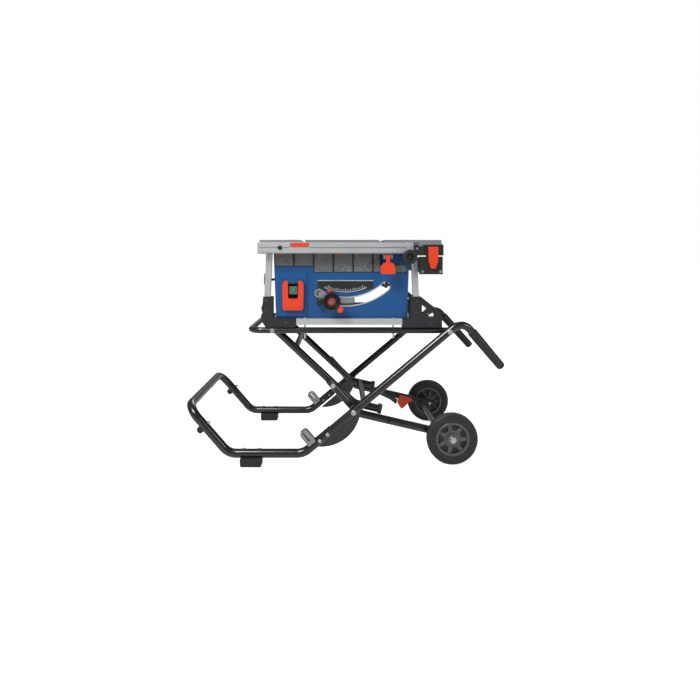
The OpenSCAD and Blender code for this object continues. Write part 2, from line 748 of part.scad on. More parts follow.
module table_top() color("#c3c5c7") difference() {
    union() {
        difference() {
            box(table_left, table_right, -table_y, table_y, skirt_z, table_h);
            box(table_left + 6, table_right - 6, -table_y + skirt_in + 6, table_y - skirt_in - 6,
                skirt_z - 1, slab_z);
            both_sides() box(table_left - 1, table_right + 1, -table_y - 1, -table_y + skirt_in,
                skirt_z - 1, slab_z);
        }
        // thickened bed under each mitre slot
        for (x = mitre_x) box(x - mitre_w / 2 - 6, x + mitre_w / 2 + 6, -table_y + skirt_in,
            table_y - skirt_in, slab_z - 6, slab_z);
        trunnion_lugs();
        rail_guides();
        clevis(lock_x, lock_half, -lock_y - 7, -table_y + skirt_in, lock_z, 16);
        box(lock_x - 18, lock_x + 18, -table_y + skirt_in, -table_y + skirt_in + 6, lock_z - 8, skirt_z);
        box(lock_x - 18, lock_x + 18, -lock_y + 7, -table_y + skirt_in, lock_z - 8, lock_z + 4);
    }
    x_bar(lock_x, lock_half + 4, -lock_y, lock_z, pin_d);
    for (x = mitre_x) {
        box(x - mitre_w / 2, x + mitre_w / 2, -table_y - 1, table_y + 1, table_h - mitre_depth, table_h + 1);
        box(x - mitre_w / 2 - 2.5, x + mitre_w / 2 + 2.5, -table_y - 1, table_y + 1, table_h - mitre_depth,
            table_h - mitre_depth + 3);
    }
    box(-throat_w / 2, throat_w / 2, -throat_len / 2, throat_len / 2, table_h - throat_t, table_h + 1);
    box(-throat_w / 2 + 6, throat_w / 2 - 6, -throat_len / 2 + 6, throat_len / 2 - 6, slab_z - 1, table_h);
    // passages for the rack shaft in the skirts' lower lugs
    y_bar([knob_x, knob_z], -400, 400, shaft_d + 2 * run_fit);
}

// Short T-shaped runners that the fence rails slide along.
module rail_guides() both_sides() for (x = [-300, -60, 190]) {
    box(x, x + 40, -rail_y - rail_wall - 1, -table_y + skirt_in, rail_z + 11, rail_top - 11);
    box(x, x + 40, -rail_y - rail_wall - 9, -rail_y - rail_wall - pass_gap, rail_z + rail_wall + 0.5,
        rail_top - rail_wall - 0.5);
}

lug_r0 = 66;
lug_r1 = 76;

// Two arc ribs under the table that carry the tilting cradle, and two lugs for the rack shaft.
module trunnion_lugs() {
    for (y = [[cradle_front + 20, cradle_front + 6], [cradle_back - 20, cradle_back - 6]]) {
        at_tilt_axis(max(y)) linear_extrude(14) arc_2d(lug_r0, lug_r1, -44, 56);
        back = y[0] < 0 ? y[0] : y[0] - 6;
        at_tilt_axis(back + 6) linear_extrude(6) intersection() {
            arc_2d(8, lug_r1, -60, 60);
            translate([-200, -200]) square([400, 200 - slab_t]);
        }
    }
    both_sides() box(knob_x - 9, knob_x + 9, -table_y + skirt_in, -table_y + skirt_in + 6,
        knob_z - 12, skirt_z);
}

module throat_plate() color("#d5392b") difference() {
    box(-throat_w / 2 + 0.3, throat_w / 2 - 0.3, -throat_len / 2 + 0.3, throat_len / 2 - 0.3,
        table_h - throat_t, table_h);
    box(-4, 9, -140, 155, table_h - throat_t - 1, table_h + 1);
    translate([0, throat_len / 2 - 22, table_h - throat_t - 1]) cylinder(d = 18, h = throat_t + 2);
}

// ---------- saw: housing ----------

module slot_2d(grow) {
    arc_2d(slot_r - slot_w / 2 - grow, slot_r + slot_w / 2 + grow, slot_left, slot_right);
    for (a = [slot_left, slot_right]) translate(slot_r * [sin(a), -cos(a)]) circle(d = slot_w + 2 * grow);
}

scale_r = 371;
scale_half = 113;
scale_top = table_h - 167;
scale_drop = 45;

// How far the housing's sides lean in at a height.
function side_in(z) = housing_taper * (skirt_z - z) / (skirt_z - housing_bottom);

// The housing seen from the front, moved in by a wall and made longer by a reach.
module housing_2d(wall, reach) {
    top = skirt_z + reach;
    low = housing_bottom - reach;
    polygon([[housing_left + side_in(top) + wall, top], [housing_right - side_in(top) - wall, top],
        [housing_right - side_in(low) - wall, low], [housing_left + side_in(low) + wall, low]]);
}

window_reach = 28;
switch_z = housing_bottom + 0.35 * (skirt_z - housing_bottom);

module housing() color("#1c4f86") difference() {
    union() {
        difference() {
            upright(-housing_front) linear_extrude(-2 * housing_front) housing_2d(0, 0);
            upright(-housing_front - housing_wall) linear_extrude(-2 * (housing_front + housing_wall))
                housing_2d(housing_wall, 1);
        }
        // ears for the switch paddle
        clevis(switch_x, paddle_w / 2, paddle_y - 12, housing_front - bulge, hinge_z, 12);
        // switch panel standing proud of the front
        upright(housing_front) linear_extrude(bulge) polygon([[housing_left + 132, housing_bottom + 8],
            [housing_left + 132, paddle_top + 36],
            [housing_left + 2 + side_in(paddle_top + 36), paddle_top + 36],
            [housing_left + 2 + side_in(housing_bottom + 8), housing_bottom + 8]]);
    }
    at_tilt_axis(housing_front + 10) linear_extrude(30) slot_2d(0);
    x_bar(switch_x, paddle_w / 2 + 10, hinge_y, hinge_z, pin_d);
    // opening behind the switch
    box(switch_x - 26, switch_x + 26, housing_front - 20, housing_front + 10, switch_z - 46, hinge_z);
    // window for the rail lock lever
    box(lock_x - window_reach, lock_x + 54, housing_front - 1, housing_front + 10,
        skirt_z - 50, skirt_z + 1);
    // passages of the rack shaft
    y_bar([knob_x, knob_z], -400, 400, 30);
    box(knob_x - 15, knob_x + 15, -400, 400, knob_z, skirt_z);
    // outlet of the dust port and a service opening in the back
    y_bar([port_x, port_z], 200, 300, 56);
    box(service_x[0], service_x[1], 200, 300, housing_bottom + 18, housing_bottom + 128);
    // seats of the cord gland and the storage knob
    translate([gland_x - 20, gland_y, gland_z]) rotate([0, 90, 0]) cylinder(d = 16, h = 40);
    translate([housing_left - 10, side_knob.x, side_knob.y]) rotate([0, 90, 0])
        cylinder(d = 10 + 2 * run_fit, h = 40);
}

module switch_box() color("#232426") difference() {
    box(switch_x - 26, switch_x + 26, housing_front - bulge - 4, housing_front + 30, switch_z - 46, hinge_z);
    box(switch_x - 19, switch_x + 19, housing_front - 30, housing_front + 26, switch_z - 10, hinge_z - 3);
    y_bar([switch_x, switch_z + 20], housing_front, housing_front + 40, 8 + 2 * run_fit);
}

paddle_y = housing_front - bulge - 4 - pass_gap;
hinge_y = paddle_y - 6.5;
paddle_top = switch_z + paddle_h / 2;
hinge_z = paddle_top - 12;

module switch_paddle() color("#f04a24") {
    for (s = [-1, 1]) x_bar(switch_x + s * 34, 10, hinge_y, hinge_z, pin_d - 2 * run_fit);
    upright(paddle_y) linear_extrude(13) difference() {
        translate([switch_x - paddle_w / 2, switch_z - paddle_h / 2]) square([paddle_w, paddle_h]);
        translate([switch_x - 21, switch_z - 8]) square([42, paddle_h]);
        for (s = [-1, 1]) translate([switch_x + s * paddle_w / 2, paddle_top]) rotate([0, 0, 45])
            square([9, 9], center = true);
    }
}

module start_button() color("#2f9e6e") {
    y_bar([switch_x, switch_z + 20], housing_front - bulge - 7, housing_front + 4, 20);
    y_bar([switch_x, switch_z + 20], housing_front + 4, housing_front + 30, 8);
}

module scale_plate() color("#17181a") upright(housing_front) linear_extrude(1) intersection() {
    translate([0, scale_top - scale_drop + scale_r]) circle(r = scale_r, $fn = 256);
    translate([-scale_half, scale_top - 2 * scale_drop]) square(2 * [scale_half, scale_drop]);
}

module slot_trim() color("#c9ccd0") {
    at_tilt_axis(housing_front) linear_extrude(2) difference() {
        slot_2d(5);
        slot_2d(0);
    }
    box(-scale_half, scale_half, housing_front - 2, housing_front, scale_top + 0.5, scale_top + 4.5);
}

panel_pitch = 80;
panel_gap = 7;
panel_x = [for (i = [0:5]) housing_left + 6 + i * panel_pitch];

module blank_panels() color("#6d6f70") {
    for (i = [0:5]) {
        low = i < 2 ? skirt_z - 54 : skirt_z - 79;
        right = i == 5 ? lock_x - window_reach - 1 : panel_x[i] + panel_pitch - panel_gap;
        box(panel_x[i], right, housing_front - 1, housing_front, low, skirt_z - 6);
    }
    box(panel_x[5], housing_right - 12, housing_front - 1, housing_front, skirt_z - 79, skirt_z - 53);
}

port_x = -65;
side_knob = [-226, table_h - 162];
side_knob_d = 56;
service_x = [50, 238];
port_z = housing_bottom + 56;
gland_y = 200;
gland_z = housing_bottom + 60;
gland_x = housing_right - side_in(gland_z) + 0.5;

module dust_port() color("#1f2022") difference() {
    union() {
        box(port_x - 50, port_x + 50, -housing_front, -housing_front + 4, port_z - 46, port_z + 46);
        y_bar([port_x, port_z], -housing_front, -front_most, 64);
    }
    y_bar([port_x, port_z], 200, 400, 56);
}

module cord_gland() color("#1a1b1c") translate([gland_x - 8, gland_y, gland_z])
    rotate([0, 90, 0]) difference() {
        union() {
            cylinder(d = 16, h = 12);
            translate([0, 0, 8]) cylinder(d = 22, h = 8);
            translate([0, 0, 16]) cylinder(d1 = 18, d2 = 13, h = 10);
        }
        translate([0, 0, -1]) cylinder(d = 8, h = 40);
    }

module storage_knob() color("#1a1b1c") translate([housing_left, side_knob.x, side_knob.y])
    rotate([0, -90, 0]) {
    translate([0, 0, -10]) cylinder(d = 10, h = 32);
    translate([0, 0, 28]) cylinder(d = side_knob_d, h = 14);
    translate([0, 0, 20]) cylinder(d = 24, h = 10);
}

// ---------- saw: tilting cradle ----------

cradle_a0 = -34;
cradle_a1 = 3.5;
cradle_low_a1 = 9;

module cradle_plate(y, inward) {
    at_tilt_axis(y + cradle_t) linear_extrude(cradle_t) {
        arc_2d(56, 300, cradle_a0, cradle_a1);
        arc_2d(210, 298, cradle_a0 / 2, cradle_low_a1);
    }
    at_tilt_axis(inward > 0 ? y + 20 : y + cradle_t) linear_extrude(20) {
        arc_2d(56, lug_r0 - pass_gap, cradle_a0, cradle_a1);
        arc_2d(lug_r1 + pass_gap, 90, cradle_a0, cradle_a1);
    }
}

module tilt_cradle() color("#8d9092") difference() {
    union() {
        cradle_plate(cradle_front, 1);
        cradle_plate(cradle_back - cradle_t, -1);
        // bridges that hold the guide rods
        for (z = [rod_low, rod_high - bridge_t]) box(rod_x - bridge_t, rod_x + bridge_t,
            cradle_front + cradle_t, cradle_back - cradle_t, z, z + bridge_t);
    }
    for (y = [-rod_y, rod_y]) translate([rod_x, y, rod_low - 1]) cylinder(d = rod_d, h = 400);
    translate([rod_x, screw_y, rod_low - 1]) cylinder(d = screw_d + 2 * run_fit, h = 400);
    y_bar(wheel_axis, -300, -200, shaft_d + 2 * run_fit);
    // the upper bridge is open in the middle, where the motor rises
    box(rod_x - bridge_t - 1, rod_x + bridge_t + 1, -motor_d / 2 - 8, motor_d / 2 + 8,
        rod_high - bridge_t - 1, rod_high + 1);
}

module slide_rods() color("#cfd2d5") for (y = [-rod_y, rod_y])
    translate([rod_x, y, rod_low]) cylinder(d = rod_d, h = rod_high - rod_low);

gear_r = 16;
gear_face = 7;
gear_gap = 0.3;

// A mitre gear blank whose cone points along +Z, with its notches.
module mitre_gear() difference() {
    cylinder(r1 = gear_r, r2 = gear_r - gear_face, h = gear_face);
    for (i = [0:11]) rotate([0, 0, i * 30]) translate([gear_r - 3, -1, -1]) cube([6, 2, gear_face + 2]);
}

module crank_shaft() color("#a9acaf") {
    y_bar(wheel_axis, front_most + 22, screw_y - gear_r - gear_gap, shaft_d);
    translate([wheel_axis.x, screw_y - gear_r - gear_gap, wheel_axis.y]) rotate([-90, 0, 0]) mitre_gear();
}

module lift_screw() color("#a9acaf") translate([rod_x, screw_y, 0]) {
    translate([0, 0, rod_low]) cylinder(d = screw_d, h = rod_high - rod_low);
    translate([0, 0, wheel_axis.y - gear_r - gear_gap]) mitre_gear();
}

module handwheel() color("#1b1c1d") translate([wheel_axis.x, front_most + 20, wheel_axis.y])
    rotate([90, 0, 0]) {
    difference() {
        union() {
            difference() {
                translate([0, 0, -24]) cylinder(d = handwheel_d, h = 32);
                translate([0, 0, -4]) cylinder(d = handwheel_d - 16, h = 20);
            }
            translate([0, 0, -5]) cylinder(d = 18, h = 11);
        }
        translate([0, 0, -26]) cylinder(d = shaft_d, h = 24);
        for (i = [0:11]) rotate([0, 0, i * 30]) translate([handwheel_d / 2 + 2, 0, -30])
            cylinder(d = 9, h = 50);
    }
    rotate([0, 0, -42]) {
        translate([20, -8, -1]) cube([26, 16, 8]);
        translate([46, 0, -1]) cylinder(d = 20, h = 8);
        translate([46, 0, 7]) cylinder(d = 24, h = 13);
    }
}

module bevel_lever() color("#c9ccd0") {
    upright(housing_front - 3) linear_extrude(8) difference() {
        union() {
            translate(wheel_axis) circle(d = 40);
            translate(wheel_axis + [-38, 22]) circle(d = 34);
            translate(wheel_axis + [-19, 11]) rotate([0, 0, -30]) square([44, 26], center = true);
            translate(wheel_axis + [-49, -14]) square([49, 16]);
            translate(wheel_axis + [-49, -6]) circle(d = 26);
        }
        translate(wheel_axis) circle(d = shaft_d + 2 * run_fit);
        for (i = [0:6]) translate(wheel_axis + [-38, 22]) rotate([0, 0, 60 + i * 30]) translate([17, 0])
            circle(d = 5);
    }
    y_bar(wheel_axis + [-49, -6], housing_front - 34, housing_front - 11, 24);
}

// ---------- saw: lifting carriage ----------

module carriage() color("#7d8082") difference() {
    union() {
        box(-36, -22, -rod_y - 14, rod_y + 14, motor_z - 40, arbor_z + 30);
        for (y = [-rod_y, rod_y]) translate([rod_x, y, arbor_z - 93]) {
            cylinder(d = rod_d + 12, h = 53);
            translate([0, -10, 0]) cube([24, 20, 53]);
        }
        translate([rod_x, screw_y, arbor_z - 90]) {
            cylinder(d = screw_d + 14, h = 24);
            cube([24, 40, 24]);
        }
        translate([-34, 0, arbor_z]) rotate([0, 90, 0]) cylinder(d = 46, h = 22);
    }
    for (y = [-rod_y, rod_y]) translate([rod_x, y, 500]) cylinder(d = rod_d + 2 * run_fit, h = 400);
    translate([rod_x, screw_y, 500]) cylinder(d = screw_d + 2 * run_fit, h = 400);
    translate([-60, 0, arbor_z]) rotate([0, 90, 0]) cylinder(d = arbor_d + 2 * run_fit, h = 60);
    box(-60, -28, -8, 8, motor_z - 20, arbor_z);
    translate([-40, 0, motor_z]) rotate([0, 90, 0]) cylinder(d = 40, h = 12);
}

module motor() color("#2a2b2d") {
    translate([-36 - motor_len, 0, motor_z]) rotate([0, 90, 0]) difference() {
        cylinder(d = motor_d, h = motor_len);
        translate([0, 0, -1]) cylinder(d = motor_d - 20, h = 12);
        for (i = [0:11]) rotate([0, 0, i * 30]) translate([motor_d / 2 - 4, -3, 14]) cube([10, 6, 40]);
    }
    translate([-36, 0, motor_z]) rotate([0, 90, 0]) cylinder(d = 40, h = 7.8);
}

module arbor() color("#a9acaf") {
    translate([-34, 0, arbor_z]) rotate([0, 90, 0]) cylinder(d = arbor_d, h = 50);
    translate([-11.5, 0, arbor_z]) rotate([0, 90, 0]) cylinder(d = 44, h = 11.5 - blade_t / 2);
}

module saw_blade() color("#d6d8da") translate([-blade_t / 2, 0, arbor_z]) rotate([0, 90, 0])
    linear_extrude(blade_t) difference() {
        polygon([for (i = [0:blade_teeth - 1])
            for (k = [[0, 0], [0.18, 0], [0.3, -9], [0.62, -9], [0.9, -3]])
            let (a = (i + k[0]) * 360 / blade_teeth) (blade_d / 2 + k[1]) * [cos(a), sin(a)]]);
        circle(d = arbor_d);
    }

module blade_nut() color("#a9acaf") translate([blade_t / 2, 0, arbor_z]) rotate([0, 90, 0]) difference() {
    union() {
        cylinder(d = 42, h = 4);
        translate([0, 0, 4]) cylinder(d = 28, h = 9, $fn = 6);
    }
    translate([0, 0, -1]) cylinder(d = arbor_d, h = 20);
}

module riving_knife() color("#b9bcc0") {
    translate([-blade_t / 2, 0, arbor_z]) rotate([90, 0, 90]) linear_extrude(blade_t) difference() {
        intersection() {
            circle(r = blade_d / 2 + 28, $fn = 128);
            translate([60, -30]) square([100, 112]);
        }
        circle(r = blade_d / 2 + 4, $fn = 128);
    }
    box(-22, -blade_t / 2, 96, 109, motor_z + 30, motor_z + 50);
    box(-8, -blade_t / 2, 100, 148, motor_z + 36, motor_z + 48);
}

// ---------- saw: fence rails and wing ----------

rail_right = knob_x + 18;

module rail() {
    difference() {
        box(rail_left, rail_right, -rail_y - rail_t, -rail_y, rail_z, rail_top);
        box(rail_left - 1, rail_right + 1, -rail_y - rail_t + rail_wall, -rail_y - 3, rail_z + rail_wall,
            rail_top - rail_wall);
        box(rail_left - 1, rail_right + 1, -rail_y - 4, -rail_y + 1, rail_z + 10, rail_top - 10);
        box(rail_left - 1, rail_right + 1, -rail_y - rail_t - 1, -rail_y - rail_t + 1.2,
            rail_z + 18, rail_z + 20.5);
    }
    upright(-rail_y) linear_extrude(rail_t) polygon([[rail_left, rail_z],
        for (x = [rail_left:rack_pitch:rail_right - rack_pitch]) each [
            [x + rack_pitch * 0.28, rail_z - rack_tooth], [x + rack_pitch * 0.6, rail_z - rack_tooth],
            [x + rack_pitch * 0.88, rail_z]],
        [rail_right, rail_z], [rail_right, rail_z + 1], [rail_left, rail_z + 1]]);
}

module front_rail() color("#b4b7ba") rail();
module rear_rail() color("#b4b7ba") mirror([0, 1, 0]) rail();

module wing_table() color("#c3c5c7") {
    difference() {
        box(wing_left, wing_right, -table_y, table_y, slab_z - 8, table_h);
        box(wing_left + 5, wing_right - 5, -table_y + 5, table_y - 5, slab_z - 9, slab_z);
    }
    // arms that join the wing to both rails
    both_sides() box(rail_right, wing_right, -rail_y - rail_t + 6, -rail_y, rail_z + 4, rail_top - 6);
    both_sides() box(wing_left, wing_right, -rail_y, -table_y, rail_z + 12, rail_top - 6);
    both_sides() box(wing_left, wing_right, -table_y, -table_y + 5, rail_z + 12, slab_z);
    // bracket for the far end of the stored fence
    box(wing_left + 14, wing_left + 64, rail_y, rail_y + 5, rail_z - 84, rail_z + 12);
}

head_front = -rail_y - rail_t - 10;

module fence_head() color("#202123") difference() {
    union() {
        box(rail_right, wing_right, head_front, -rail_y - rail_t + 6, rail_z - 14, rail_top - 9);
        box(wing_left, wing_right - 3, head_front, -rail_y - 2, rail_z - 88, rail_z - 14);
        clevis(lever_x, lever_half, lever_y - 7, head_front, lever_z, 14);
    }
    // slits each side of the lever
    box(wing_left - 1, lever_x - 22, head_front - 1, 0, rail_z - 18, rail_z - 14);
    box(lever_x + 22, wing_right + 1, head_front - 1, 0, rail_z - 18, rail_z - 14);
    box(rail_right + 18, rail_right + 38, head_front - 1, 0, rail_top - 16, rail_top);
    box(wing_left + 8, wing_right - 11, head_front + 5, 0, rail_z - 82, rail_z - 24);
    x_bar(lever_x, lever_half + 4, lever_y, lever_z, pin_d);
}

lever_x = wing_left + 50;
lever_z = rail_top - 22;
lever_half = 20;
lever_y = head_front - pass_gap - 6;

module fence_bar() color("#b4b7ba") difference() {
    box(wing_left + 14, wing_left + 64, -rail_y - 2, rail_y, rail_z - 84, rail_z - 22);
    box(wing_left + 18, wing_left + 60, -rail_y - 3, rail_y + 1, rail_z - 80, rail_z - 26);
}

module fence_lever() color("#f04a24") {
    x_bar(lever_x, lever_half, lever_y, lever_z, 12);
    x_bar(lever_x, lever_half + 4, lever_y, lever_z, pin_d - 2 * run_fit);
    upright(lever_y + 6) linear_extrude(12) translate([lever_x, lever_z])
        polygon([[-lever_half, 0], [lever_half, 0], [18, -56], [8, -82], [-8, -82], [-18, -56]]);
}

module pinion_shaft() color("#a9acaf") {
    y_bar([knob_x, knob_z], front_most + 8, rail_y + rail_t, shaft_d);
    both_sides() translate([knob_x, -rail_y - rail_t + 4, knob_z]) rotate([-90, 0, 0]) difference() {
        cylinder(d = pinion_d, h = 20);
        for (i = [0:9]) rotate([0, 0, i * 36]) translate([pinion_d / 2 - 3, -1.6, -1]) cube([6, 3.2, 30]);
    }
}

module rack_knob() color("#1f2022") translate([knob_x, 0, knob_z]) rotate([90, 0, 0]) difference() {
    translate([0, 0, pass_gap - head_front]) cylinder(d = knob_d, h = head_front - front_most - pass_gap);
    translate([0, 0, -front_most - 20]) cylinder(d = 28, h = 30);
    cylinder(d = shaft_d, h = 400);
    for (i = [0:9]) rotate([0, 0, i * 36]) translate([knob_d / 2 + 2, 0, 200]) cylinder(d = 8, h = 200);
}

module rail_lock_lever() color("#f04a24") {
    x_bar(lock_x, lock_half, -lock_y, lock_z, 12);
    x_bar(lock_x, lock_half + 4, -lock_y, lock_z, pin_d - 2 * run_fit);
    box(lock_x - 10, lock_x + 10, -lock_y - 8, -lock_y + 4, lock_z - 24, lock_z);
    upright(-lock_y + 4) linear_extrude(14) translate([lock_x, lock_z - 24]) polygon([[-10, 0], [10, 0],
        [26, -8], [29, -18], [29, -38], [22, -44], [-22, -44], [-29, -38], [-29, -18], [-26, -8]]);
}

base_loop();
foot_tube_near();
foot_tube_far();
leg_tube_near();
leg_tube_far();
handle_grips();
foot_pads();
loop_bumpers();
stop_plates();
saddle_catches();
base_bolts();
platform_frame();
platform_bolts();
left_feet();
right_feet();
base_rails();
posts();
table_top();
throat_plate();
housing();
switch_box();
switch_paddle();
start_button();
scale_plate();
slot_trim();
blank_panels();
dust_port();
cord_gland();
storage_knob();
tilt_cradle();
slide_rods();
crank_shaft();
handwheel();
bevel_lever();
lift_screw();
carriage();
motor();
arbor();
saw_blade();
blade_nut();
riving_knife();
front_rail();
rear_rail();
wing_table();
fence_head();
fence_bar();
fence_lever();
pinion_shaft();
rack_knob();
rail_lock_lever();
strut_frame();
strut_bumpers();
wheel_frame();
arm_bolts();
tyre_near();
tyre_far();
rim_near();
rim_far();
release_pedal();
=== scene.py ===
"""A jobsite table saw on its folding, wheeled stand.

The saw's construction comes packed as the frame. After the studio, each section is one piece or one group of
like pieces, in the order in which the real machine goes together: the stand from the floor up, then the saw,
from its switch to its table and the works below it. Lengths are in millimetres; piece() makes them metres.
"""
import math

import bmesh
import bpy
import numpy as np
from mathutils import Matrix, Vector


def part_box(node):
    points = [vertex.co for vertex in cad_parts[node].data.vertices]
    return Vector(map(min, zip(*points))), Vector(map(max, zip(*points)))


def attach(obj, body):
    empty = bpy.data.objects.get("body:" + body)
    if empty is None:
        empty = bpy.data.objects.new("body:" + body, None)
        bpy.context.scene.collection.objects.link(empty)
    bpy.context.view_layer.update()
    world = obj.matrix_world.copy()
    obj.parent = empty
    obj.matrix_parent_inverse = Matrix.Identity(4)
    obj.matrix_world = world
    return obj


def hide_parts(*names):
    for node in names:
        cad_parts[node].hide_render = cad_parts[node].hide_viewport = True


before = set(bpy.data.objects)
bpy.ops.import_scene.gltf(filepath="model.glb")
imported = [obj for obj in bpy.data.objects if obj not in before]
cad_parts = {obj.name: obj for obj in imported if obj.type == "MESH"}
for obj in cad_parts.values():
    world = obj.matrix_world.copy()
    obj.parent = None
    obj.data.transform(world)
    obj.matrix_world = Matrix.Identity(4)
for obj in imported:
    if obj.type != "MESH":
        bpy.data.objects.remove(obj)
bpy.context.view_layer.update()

# ---------------------------------------------------------------------------------------------------------
# Studio. A plain pale floor and a white surround, lit by three large soft lamps, seen level from the
# operator's side. The floor lies just under the foot pads and tyres. Lengths in this section are in metres.

EYE = (-0.041, -2.454, 0.838)
LENS_MM = 27.8
SENSOR_MM = 36.0
FRAME_SHIFT = (0.021, -0.136)
FLOOR_Z = -0.0005


def linear(hex_colour, alpha=1.0):
    """An sRGB hex colour such as "#1c4f86" as the linear values that shaders take."""
    parts = [int(hex_colour[i : i + 2], 16) / 255 for i in (1, 3, 5)]
    return [c / 12.92 if c <= 0.04045 else ((c + 0.055) / 1.055) ** 2.4 for c in parts] + [alpha]


def add(tree, kind, values=None, links=None, **settings):
    """Adds one node of that kind, with its settings, input values and the (node, output) pairs it draws
    from."""
    node = tree.nodes.new(kind)
    for name, value in settings.items():
        setattr(node, name, value)
    for name, value in (values or {}).items():
        node.inputs[name].default_value = value
    for name, (source, output) in (links or {}).items():
        tree.links.new(source.outputs[output], node.inputs[name])
    return node


def new_finish(name):
    """An empty material of that name, and its node tree."""
    finish = bpy.data.materials.new(name)
    finish.use_nodes = True
    finish.node_tree.nodes.clear()
    return finish, finish.node_tree


def studio_paper():
    """Matt white paper. It glows a little towards the camera, to stay an even pale tone to the horizon."""
    finish, tree = new_finish("white_studio_paper")
    path = add(tree, "ShaderNodeLightPath")
    grain = add(tree, "ShaderNodeTexNoise", {"Scale": 3.0, "Detail": 2.0})
    tone = add(tree, "ShaderNodeMix", {"A": linear("#efefee"), "B": linear("#f3f3f3")},
               {"Factor": (grain, "Fac")}, data_type="RGBA")
    paper = add(tree, "ShaderNodeBsdfDiffuse", links={"Color": (tone, "Result")})
    glow = add(tree, "ShaderNodeEmission", {"Color": linear("#ffffff"), "Strength": 0.76})
    lit = add(tree, "ShaderNodeAddShader", links={0: (paper, "BSDF"), 1: (glow, "Emission")})
    seen = add(tree, "ShaderNodeMixShader",
               links={"Fac": (path, "Is Camera Ray"), 1: (paper, "BSDF"), 2: (lit, "Shader")})
    add(tree, "ShaderNodeOutputMaterial", links={"Surface": (seen, "Shader")})
    return finish


floor_mesh = bpy.data.meshes.new("studio_floor")
floor_mesh.from_pydata([(-40, -12, FLOOR_Z), (40, -12, FLOOR_Z), (40, 80, FLOOR_Z), (-40, 80, FLOOR_Z)], [],
                       [(0, 1, 2, 3)])
floor_mesh.materials.append(studio_paper())
floor = bpy.data.objects.new("studio_floor", floor_mesh)
bpy.context.scene.collection.objects.link(floor)

world = bpy.data.worlds.new("studio_surround")
world.use_nodes = True
world.node_tree.nodes.clear()
eye_ray = add(world.node_tree, "ShaderNodeLightPath")
dim = add(world.node_tree, "ShaderNodeBackground", {"Color": linear("#ffffff"), "Strength": 0.30})
bright = add(world.node_tree, "ShaderNodeBackground", {"Color": linear("#ffffff"), "Strength": 1.0})
surround = add(world.node_tree, "ShaderNodeMixShader",
               links={"Fac": (eye_ray, "Is Camera Ray"), 1: (dim, "Background"), 2: (bright, "Background")})
add(world.node_tree, "ShaderNodeOutputWorld", links={"Surface": (surround, "Shader")})
bpy.context.scene.world = world


def soft_lamp(name, place, size, watts):
    """A square area lamp of that size in metres, aimed at the middle of the machine."""
    lamp = bpy.data.objects.new(name, bpy.data.lights.new(name, "AREA"))
    lamp.data.energy = watts
    lamp.data.size = size
    lamp.location = place
    toward = np.array((0.0, 0.0, 0.5)) - np.array(place)
    lamp.rotation_euler = (math.atan2(math.hypot(toward[0], toward[1]), -toward[2]), 0,
                           math.atan2(-toward[0], toward[1]))
    bpy.context.scene.collection.objects.link(lamp)


soft_lamp("key_lamp", (-1.5, -2.3, 3.1), 1.3, 122)
soft_lamp("fill_lamp", (2.8, -2.4, 1.7), 1.4, 30)
soft_lamp("back_lamp", (0.5, 3.0, 3.2), 2.0, 60)

camera = bpy.data.objects.new("camera", bpy.data.cameras.new("camera"))
camera.data.sensor_width = SENSOR_MM
camera.data.lens = LENS_MM
camera.data.shift_x, camera.data.shift_y = FRAME_SHIFT
camera.location = EYE
camera.rotation_euler = (math.radians(90), 0, 0)
bpy.context.scene.collection.objects.link(camera)
bpy.context.scene.camera = camera
bpy.context.scene.view_settings.view_transform = "Standard"

# ---------------------------------------------------------------------------------------------------------
# Tubes of the stand. Round steel tube, bent, welded and powder-coated black: the floor loop, the two long
# legs, the platform, the strut and the wheel arm. The sleeves that join loop and legs end in low seams, and
# a weld bead runs round each cross tube.

TUBE_D = 31.8
CROSS_TUBE_D = 25.4
DECK_Z = 533.0
LEG_Y, ARM_Y, STRUT_Y, PLATFORM_Y = 301.0, 237.0, 205.0, 269.0
PLATFORM_TUBE_D, PLATFORM_CROSS_D = 25.4, 21.0
LOOP_SLEEVE_R, LEG_SLEEVE_R = 18.0, 18.1
LEG_SEAM = 116.5
LOOP_SEAMS = ((102, 1.8), (107.5, 1.0))
leg_angle = math.radians(39.9)
leg_dir = np.array((math.cos(leg_angle), 0, math.sin(leg_angle)))
main_pivot = np.array((31.0, 0, 214.0))
platform_pivot = main_pivot + leg_dir * (DECK_Z - main_pivot[2]) / leg_dir[2]
loop_tilt = math.radians(48.9)
loop_dir = np.array((-math.cos(loop_tilt), 0, math.sin(loop_tilt)))
loop_foot = np.array((-466.0, 0, 48.0))
knee = np.array((-50.0, 0, 304.0))
axle = np.array((427.0, 0, 102.0))
strut_top = np.array((-295.0, 0, DECK_Z))


def heading(start, end):
    """The unit direction from one point to another."""
    return (end - start) / np.linalg.norm(end - start)


pivot_to_knee = heading(knee, main_pivot)
arm_corner = main_pivot + pivot_to_knee * 34
arm_dir = heading(arm_corner, axle)
strut_dir = heading(strut_top, knee)


def noise(tree, place, size_mm, detail=2.0, roughness=0.5):
    """A noise texture whose grain is that many millimetres across, on the piece's own coordinates."""
    grain = {"Scale": 1000 / size_mm, "Detail": detail, "Roughness": roughness}
    return add(tree, "ShaderNodeTexNoise", grain, {"Vector": (place, "Object")})


def two_tone(tree, dark, light, source):
    """A colour that moves between two hex tones with the source's value."""
    return add(tree, "ShaderNodeMix", {"A": linear(dark), "B": linear(light)}, {"Factor": (source, "Fac")},
               data_type="RGBA")


def close_finish(tree, values, links):
    """Adds the surface shader with these values and links, and wires it to the output."""
    shader = add(tree, "ShaderNodeBsdfPrincipled", values, links)
    add(tree, "ShaderNodeOutputMaterial", links={"Surface": (shader, "BSDF")})


